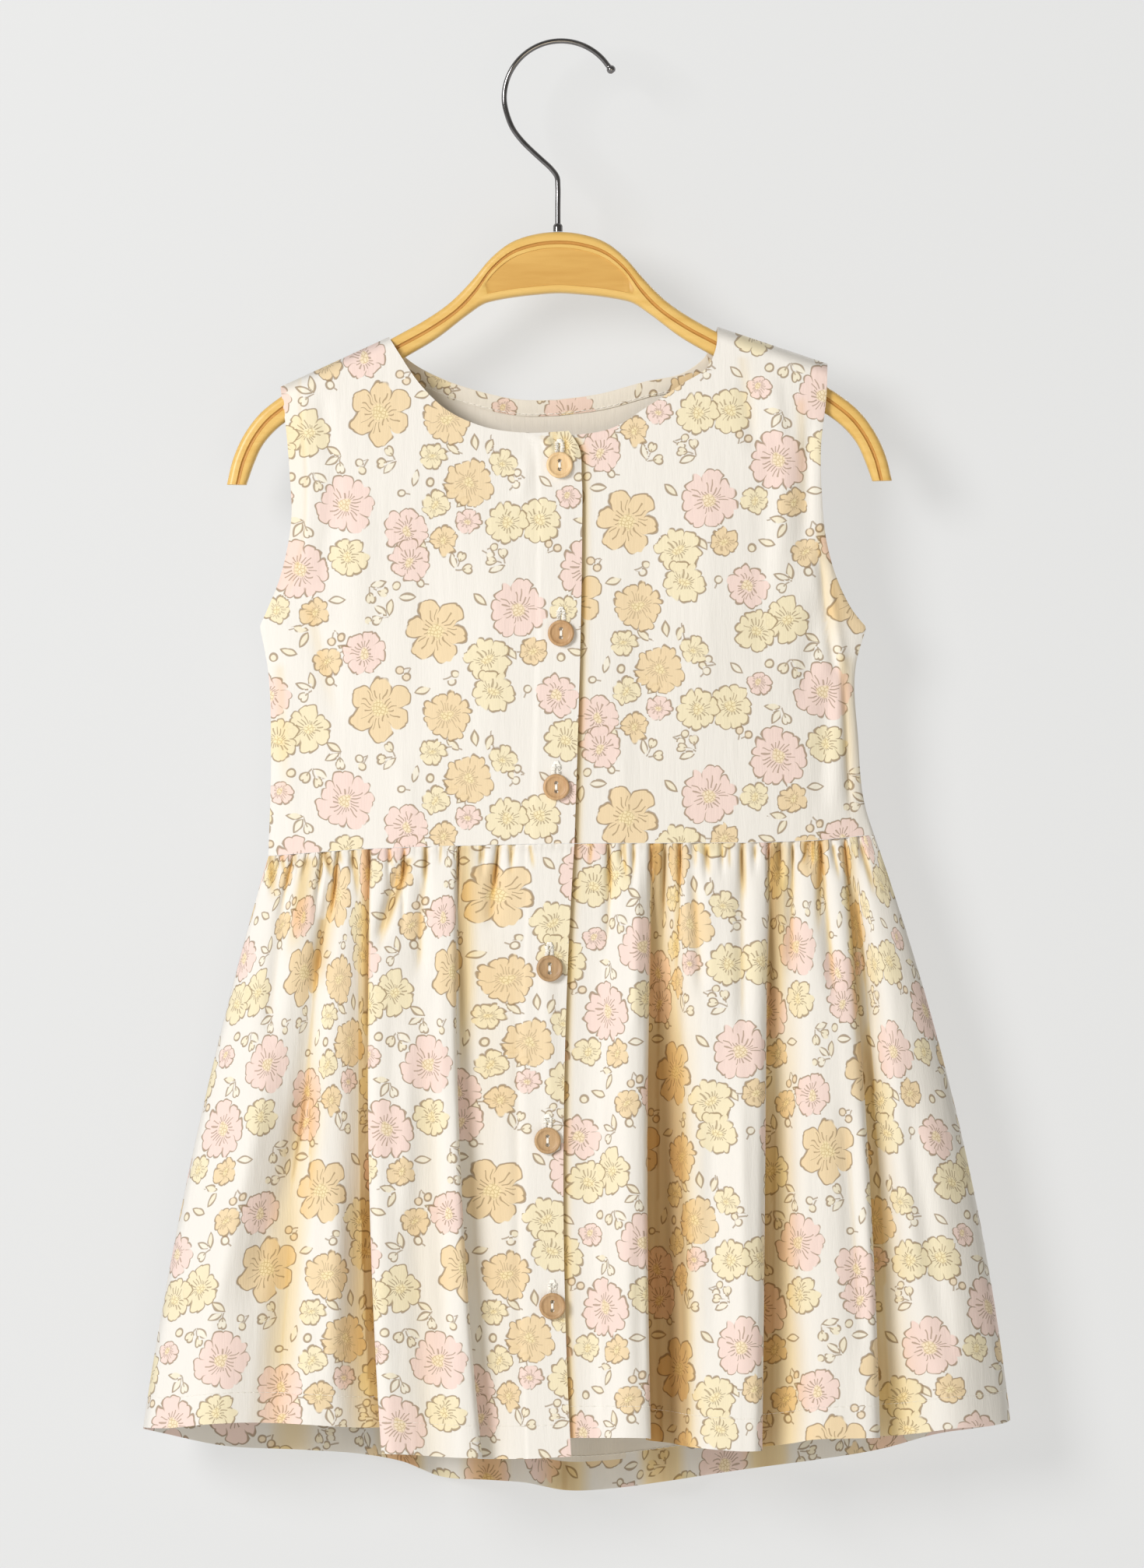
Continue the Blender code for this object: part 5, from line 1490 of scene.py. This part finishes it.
# Colour and darker grain of each button, from the top
BUTTON_WOODS = [((0.84, 0.62, 0.36), (0.70, 0.46, 0.22)), ((0.58, 0.365, 0.18), (0.42, 0.23, 0.10)),
                ((0.62, 0.40, 0.205), (0.46, 0.26, 0.12)), ((0.51, 0.335, 0.175), (0.36, 0.21, 0.10)),
                ((0.56, 0.37, 0.19), (0.40, 0.235, 0.11)), ((0.55, 0.36, 0.185), (0.39, 0.225, 0.105))]
# Metres
BUTTONHOLE_LENGTH = 0.0165
BUTTONHOLE_ABOVE = 0.0105
STITCH_PITCH = 0.00042
THREAD_RADIUS = 0.00025
BAR_THREAD_RADIUS = 0.0002
LOOSE_THREAD_RADIUS = 0.00016
BARS = 7
BAR_PITCH = 0.00024
LOOSE_THREADS = 5


def seat_of(surface, x, z):
    """The middle and the normal of the plane that a button lies on."""
    reach = BUTTON_DIAMETER / 2 * 0.8 * MM
    ring = []
    for turn in range(12):
        angle = 2 * math.pi * turn / 12
        point, _ = surface.at(x + reach * math.cos(angle), z + reach * math.sin(angle))
        ring.append(point)
    centre = sum(ring, Vector((0, 0, 0))) / len(ring)
    normal = Vector((0, 0, 0))
    for a, b in zip(ring, ring[3:] + ring[:3]):
        normal += (b - centre).cross(a - centre)
    normal.normalize()
    if normal.y > 0:
        normal = -normal
    middle, _ = surface.at(x, z)
    proud = max((point - centre).dot(normal) for point in ring + [middle])
    return centre + normal * proud, normal


def add_buttons(surface):
    threads = bmesh.new()
    for k, (x, z) in enumerate(BUTTON_CENTRES):
        base, normal = seat_of(surface, x * MM, z * MM)
        up = (Vector((0, 0, 1)) - normal * normal.z).normalized()
        across = up.cross(normal)
        turn = Matrix((across, up, normal)).transposed()
        mesh = button_mesh(f"wood_button_{k + 1}")
        wood = wood_shader(f"button_wood_{k + 1}", *BUTTON_WOODS[k], BUTTON_ROUGHNESS, BUTTON_GRAIN)
        add_piece(f"wood_button_{k + 1}", mesh, [wood], [f"button_{k + 1}"])
        mesh.transform(turn.to_4x4())
        mesh.transform(Matrix.Translation(base + normal * 0.0003))
        for strand in (-1.0, 0.0, 1.0):
            path = []
            for step in range(9):
                share = step / 8
                height = BUTTON_THICKNESS - 0.8 + 0.55 * math.sin(math.pi * share)
                if share in (0, 1):
                    height -= 1.6
                lean = strand * (0.26 + 0.1 * math.sin(math.pi * share))
                local = Vector((lean * MM, (share - 0.5) * (BUTTON_HOLE_SPACING - 0.9) * MM, height * MM))
                path.append(base + turn @ local)
            add_tube(threads, path, THREAD_RADIUS)
    add_threads(threads, "button_thread")


def lay_thread(threads, surface, radius, spots):
    """A thread over the cloth through spots of x, z and lift in metres, or none where the cloth ends."""
    path = []
    for x, z, lift in spots:
        place, normal = surface.at(x, z)
        if place is None:
            return
        path.append(place + normal * lift)
    add_tube(threads, path, radius, 5)


def add_buttonholes(surface):
    """Satin stitches down both sides of each buttonhole, a bar at its top and a few loose threads."""
    random = np.random.default_rng(5)
    threads = bmesh.new()
    for x, z in BUTTON_CENTRES:
        top = z * MM + BUTTONHOLE_ABOVE
        count = int(BUTTONHOLE_LENGTH / STITCH_PITCH)
        for k in range(count):
            height = top - k * STITCH_PITCH
            for side in (-1, 1):
                start = x * MM + side * (0.00025 + random.random() * 0.0002)
                stop = start + side * (0.0015 + random.random() * 0.0005)
                lean = (random.random() - 0.5) * 0.0006
                lay_thread(threads, surface, THREAD_RADIUS, [
                    (start + (stop - start) * share, height + lean * share,
                     0.00012 + 0.00026 * math.sin(math.pi * share)) for share in (0.0, 0.33, 0.67, 1.0)])
        for bar in range(BARS):
            height = top + 0.0002 + bar * BAR_PITCH
            lay_thread(threads, surface, BAR_THREAD_RADIUS, [
                (x * MM + share * (0.0016 - bar * 0.0001), height, 0.0004)
                for share in (-1.0, -0.5, 0.0, 0.5, 1.0)])
        for loose in range(LOOSE_THREADS):
            start_x = x * MM + (random.random() - 0.5) * 0.003
            start_z = top - random.random() * 0.004
            lay_thread(threads, surface, LOOSE_THREAD_RADIUS, [
                (start_x + share * (random.random() - 0.5) * 0.003,
                 start_z + share * (0.0012 + 0.001 * math.sin(loose)),
                 0.0005 + 0.0005 * math.sin(math.pi * share)) for share in (0.0, 0.25, 0.5, 0.75, 1.0)])
    add_threads(threads, "buttonhole_stitches")


def stitch_line(threads, points, normals, stitch=2.4, gap=0.7, radius=0.00018):
    """Short raised stitches along a line of points in millimetres."""
    points = seen(points)
    along = run_along(points)
    place = 0.0
    while place + stitch < along[-1]:
        path = []
        for share, lift in ((0.0, -0.05), (0.15, 0.16), (0.5, 0.22), (0.85, 0.16), (1.0, -0.05)):
            at = place + stitch * share
            point = [np.interp(at, along, points[:, k]) for k in range(3)]
            normal = [np.interp(at, along, normals[:, k]) for k in range(3)]
            path.append((Vector(point) + Vector(normal) * lift) * MM)
        add_tube(threads, path, radius, 4)
        place += stitch + gap


def add_seams():
    """The hem's stitches inside and out, and those of the back neck's facing."""
    threads = bmesh.new()
    for points, normals in (over_grid, under_grid, back_grid):
        to_hem = np.abs(points[-1, :, 2].mean() - points[:, :, 2].mean(axis=1))
        row = int(np.argmin(abs(to_hem - HEM_DEPTH + 1.0)))
        inside = points[row] - normals[row] * (CLOTH / 2)
        outside = points[row] + normals[row] * (CLOTH / 2)
        stitch_line(threads, inside, -normals[row])
        stitch_line(threads, outside, normals[row], radius=0.00010)
    points = facing_line(0.18, FACING_WIDTH - 0.9, FACING_INSET + 0.25)
    normals = np.zeros_like(points)
    normals[:, 1] = -1
    stitch_line(threads, points, normals)
    add_threads(threads, "seam_stitches")


dress_front = Surface([bodice_over, skirt_over])
add_buttons(dress_front)
add_buttonholes(dress_front)
add_seams()


# Hanger

HANGER_STEPS = 150
# The bar's wood, and the darker woods of its groove and its recessed panel, painted shade in those hollows
HANGER_WOODS = [
    wood_shader("hanger_beech", (0.78, 0.52, 0.165), (0.70, 0.42, 0.10), 0.36, (22.0, 160.0, 260.0)),
    wood_shader("hanger_groove_shade", (0.60, 0.31, 0.07), (0.50, 0.235, 0.045), 0.5, (30.0, 160.0, 260.0)),
    wood_shader("hanger_panel_shade", (0.70, 0.42, 0.11), (0.57, 0.30, 0.06), 0.4, (18.0, 160.0, 120.0)),
]
PANEL_TOP = 7.4
PANEL_ABOVE_BOTTOM = 3.4
PANEL_RECESS = 0.5
PANEL_FROM_HEIGHT = 14.0


def hanger_outline(top, bottom):
    """Outline of the bar between a top and a bottom point, and which of its edges are the groove's."""
    top, bottom = Vector((top[0], 0, top[1])), Vector((bottom[0], 0, bottom[1]))
    down = (bottom - top).normalized()
    height = (bottom - top).length
    half, rounding = HANGER_DEPTH / 2, HANGER_EDGE_ROUND

    def corner(start, sign):
        rows = []
        for k in range(7):
            angle = math.radians(90 * k / 6)
            rows.append((half - rounding + rounding * math.sin(angle),
                         start + sign * rounding * (1 - math.cos(angle))))
        return rows

    groove = [(half - GROOVE_DEPTH * deep, GROOVE_BELOW_TOP + GROOVE_WIDTH * across)
              for deep, across in ((0, -0.5), (0.8, -0.3), (1, 0), (0.8, 0.3), (0, 0.5))]
    share = float(smooth_step((height - PANEL_FROM_HEIGHT) / 4.0))
    upper = min(PANEL_TOP, (GROOVE_BELOW_TOP + height) / 2 - 0.6)
    lower = max(upper + 0.8, height - PANEL_ABOVE_BOTTOM)
    lower = min(lower, height - rounding - 0.05)
    upper = min(upper, lower - 0.4)
    panel = [(half, upper), (half - PANEL_RECESS * share, upper + 0.2),
             (half - PANEL_RECESS * share, lower - 0.2), (half, lower)]
    front = corner(0.0, 1) + groove + panel + corner(height, -1)[::-1]
    back = corner(height, -1) + corner(0.0, 1)[::-1]
    first = 7
    return ([top + down * d + Vector((0, -y, 0)) for y, d in front]
            + [top + down * d + Vector((0, y, 0)) for y, d in back]), range(first, first + 4), share


def add_hanger():
    rows = np.array([(-a, b, -c, d) for a, b, c, d in HANGER_SECTIONS[:0:-1]] + HANGER_SECTIONS)
    curve = smooth_curve(rows)(np.linspace(0, 1, HANGER_STEPS))
    bm = bmesh.new()
    rings, shares = [], []
    for a, b, c, d in curve:
        outline, groove, share = hanger_outline((a, b), (c, d))
        rings.append([bm.verts.new(p * MM) for p in outline])
        shares.append(share)
    panel = groove[-1] + 3
    for n, face in enumerate(skin(bm, rings)):
        row, k = divmod(n, len(rings[0]))
        # Groove and panel faces take the darker woods, painted shade in those hollows
        face.material_index = 1 if k in groove else 2 if k == panel and shares[row] > 0.3 else 0
    bmesh.ops.recalc_face_normals(bm, faces=bm.faces[:])
    tilt = math.radians(HANGER_TILT)
    pivot = Vector((HANGER_CENTRE_X, 0, HANGER_SECTIONS[0][1])) * MM
    turned_pivot = Vector((pivot.z * math.sin(tilt), 0, pivot.z * math.cos(tilt)))
    move = Matrix.Translation(pivot - turned_pivot) @ Matrix.Rotation(tilt, 4, "Y")
    bm.transform(move)
    add_piece("hanger_bar", mesh_of(bm, "hanger_bar", 50), HANGER_WOODS, ["hanger_wood"])


def hook_route():
    """Middle line of the hook's wire from its foot on the bar to the ball, with its radius."""
    wire = HOOK_WIRE / 2
    foot = HANGER_SECTIONS[0][1] + SEAM_GAP
    rows = [(HANGER_CENTRE_X, foot, HOOK_COLLAR / 2), (HANGER_CENTRE_X, foot + 2.6, HOOK_COLLAR / 2),
            (HANGER_CENTRE_X, foot + 3.4, HOOK_COLLAR / 2 - 0.4), (HANGER_CENTRE_X, foot + 3.8, wire),
            (HANGER_CENTRE_X, -75.0, wire), (HANGER_CENTRE_X, -66.5, wire), (-1.9, -62.2, wire),
            (-4.4, -58.6, wire), (-8.6, -54.6, wire), (-13.2, -50.4, wire), (-18.2, -45.4, wire),
            (-22.4, -39.8, wire), (-25.2, -33.0, wire)]
    radius = HOOK_RADIUS + HOOK_WIRE / 2
    centre_z = wire - radius
    for step in range(18):
        angle = math.radians(180.0 + 2.0 - step * 8.7)
        rows.append((radius * math.cos(angle), centre_z + radius * math.sin(angle), wire))
    ball = HOOK_BALL / 2
    last = np.array(rows[-1][:2])
    run = last - np.array(rows[-2][:2])
    run /= np.linalg.norm(run)
    for ahead, share in ((0.6, 0.66), (1.1, 0.88), (2.1, 1.0), (3.2, 0.86), (3.9, 0.5)):
        point = last + run * ahead
        rows.append((point[0], point[1], ball * share))
    return rows


def add_hook():
    rows = np.array(hook_route())
    collar, ball = 4, len(rows) - 5
    wire = smooth_curve(rows[collar:ball])(np.linspace(0, 1, 160))
    ends = smooth_curve(rows[ball - 1:])(np.linspace(0, 1, 14))[1:]
    dense = np.concatenate([rows[:collar], wire, ends])
    along = np.gradient(dense[:, :2], axis=0)
    along /= np.linalg.norm(along, axis=1)[:, None]
    along[:collar] = (0.0, 1.0)
    bm = bmesh.new()
    rings = []
    sides = 24
    turns = [2 * math.pi * k / sides for k in range(sides)]
    for (x, z, radius), (dx, dz) in zip(dense, along):
        middle, across, back = Vector((x, 0, z)), Vector((-dz, 0, dx)), Vector((0, 1, 0))
        rings.append([bm.verts.new((middle + (across * math.cos(a) + back * math.sin(a)) * radius) * MM)
                      for a in turns])
    skin(bm, rings)
    bmesh.ops.recalc_face_normals(bm, faces=bm.faces[:])
    add_piece("hook_wire", mesh_of(bm, "hook_wire", 45), [metal_shader()], ["hanger_hook"])


add_hanger()
add_hook()


# Camera, lights and stage

def add_camera():
    data = bpy.data.cameras.new("camera")
    data.lens = LENS
    data.sensor_width = SENSOR
    data.clip_end = 100.0
    made = add_object("camera", data)
    made.location = (CAMERA_X * MM, -CAMERA_DISTANCE * MM, CAMERA_Z * MM)
    made.rotation_euler = (math.radians(90), 0, 0)
    bpy.context.scene.camera = made


def add_area_light(name, place, target, size, power, colour):
    data = bpy.data.lights.new(name, "AREA")
    data.shape = "DISK"
    data.size = size
    data.energy = power
    data.color = colour
    made = add_object(name, data)
    made.location = place
    made.rotation_euler = (Vector(target) - Vector(place)).to_track_quat("-Z", "Y").to_euler()


# Columns: name, place and target in metres, diameter, power, colour
LIGHTS = [
    ("key", (-1.75, -2.25, 0.55), (0.0, 0.0, -0.35), 1.2, 69.0, (1.0, 0.995, 1.0)),
    ("floor_bounce", (0.3, -2.4, -0.58), (0.0, 0.0, -0.45), 1.0, 7.0, (1.0, 0.85, 0.58)),
    ("behind", (1.3, 2.6, 1.0), (0.0, 0.0, -0.35), 1.6, 60.0, (1.0, 0.99, 0.97)),
]
WORLD_COLOUR = (1.0, 0.97, 0.91)
WORLD_STRENGTH = 0.25
STAGE_PAINT = {"Base Color": (0.235, 0.238, 0.238, 1.0), "Roughness": 0.9,
               "Emission Color": (0.985, 0.99, 0.99, 1.0), "Emission Strength": 0.535}
# Metres
WALL_Y = 0.038
FLOOR_Z = -1.1
STAGE_HALF = 5.0
WALL_HALF = 2.2


def stage_piece(name, corners, see_through_back):
    mesh = bpy.data.meshes.new(name)
    mesh.from_pydata(corners, [], [(0, 1, 2, 3)])
    made = add_object(name, mesh)
    material, tree, shader = principled(f"{name}_paint", STAGE_PAINT)
    if see_through_back:
        clear = tree.nodes.new("ShaderNodeBsdfTransparent")
        side = tree.nodes.new("ShaderNodeNewGeometry")
        mix = tree.nodes.new("ShaderNodeMixShader")
        tree.links.new(side.outputs["Backfacing"], mix.inputs["Fac"])
        tree.links.new(shader.outputs[0], mix.inputs[1])
        tree.links.new(clear.outputs[0], mix.inputs[2])
        tree.links.new(mix.outputs[0], tree.nodes["Material Output"].inputs["Surface"])
        made.visible_shadow = False
        made.visible_diffuse = False
    mesh.materials.append(material)


def add_stage():
    half = STAGE_HALF
    stage_piece("wall", [(-WALL_HALF, WALL_Y, FLOOR_Z), (WALL_HALF, WALL_Y, FLOOR_Z),
                         (WALL_HALF, WALL_Y, half), (-WALL_HALF, WALL_Y, half)], True)
    stage_piece("floor", [(-half, -half, FLOOR_Z), (half, -half, FLOOR_Z), (half, half, FLOOR_Z),
                          (-half, half, FLOOR_Z)], False)


def add_world():
    world = bpy.data.worlds.new("studio")
    world.use_nodes = True
    background = world.node_tree.nodes["Background"]
    background.inputs["Color"].default_value = (*WORLD_COLOUR, 1.0)
    background.inputs["Strength"].default_value = WORLD_STRENGTH
    bpy.context.scene.world = world


add_camera()
add_stage()
add_world()
for light in LIGHTS:
    add_area_light(*light)
bpy.context.scene.view_settings.view_transform = "Standard"
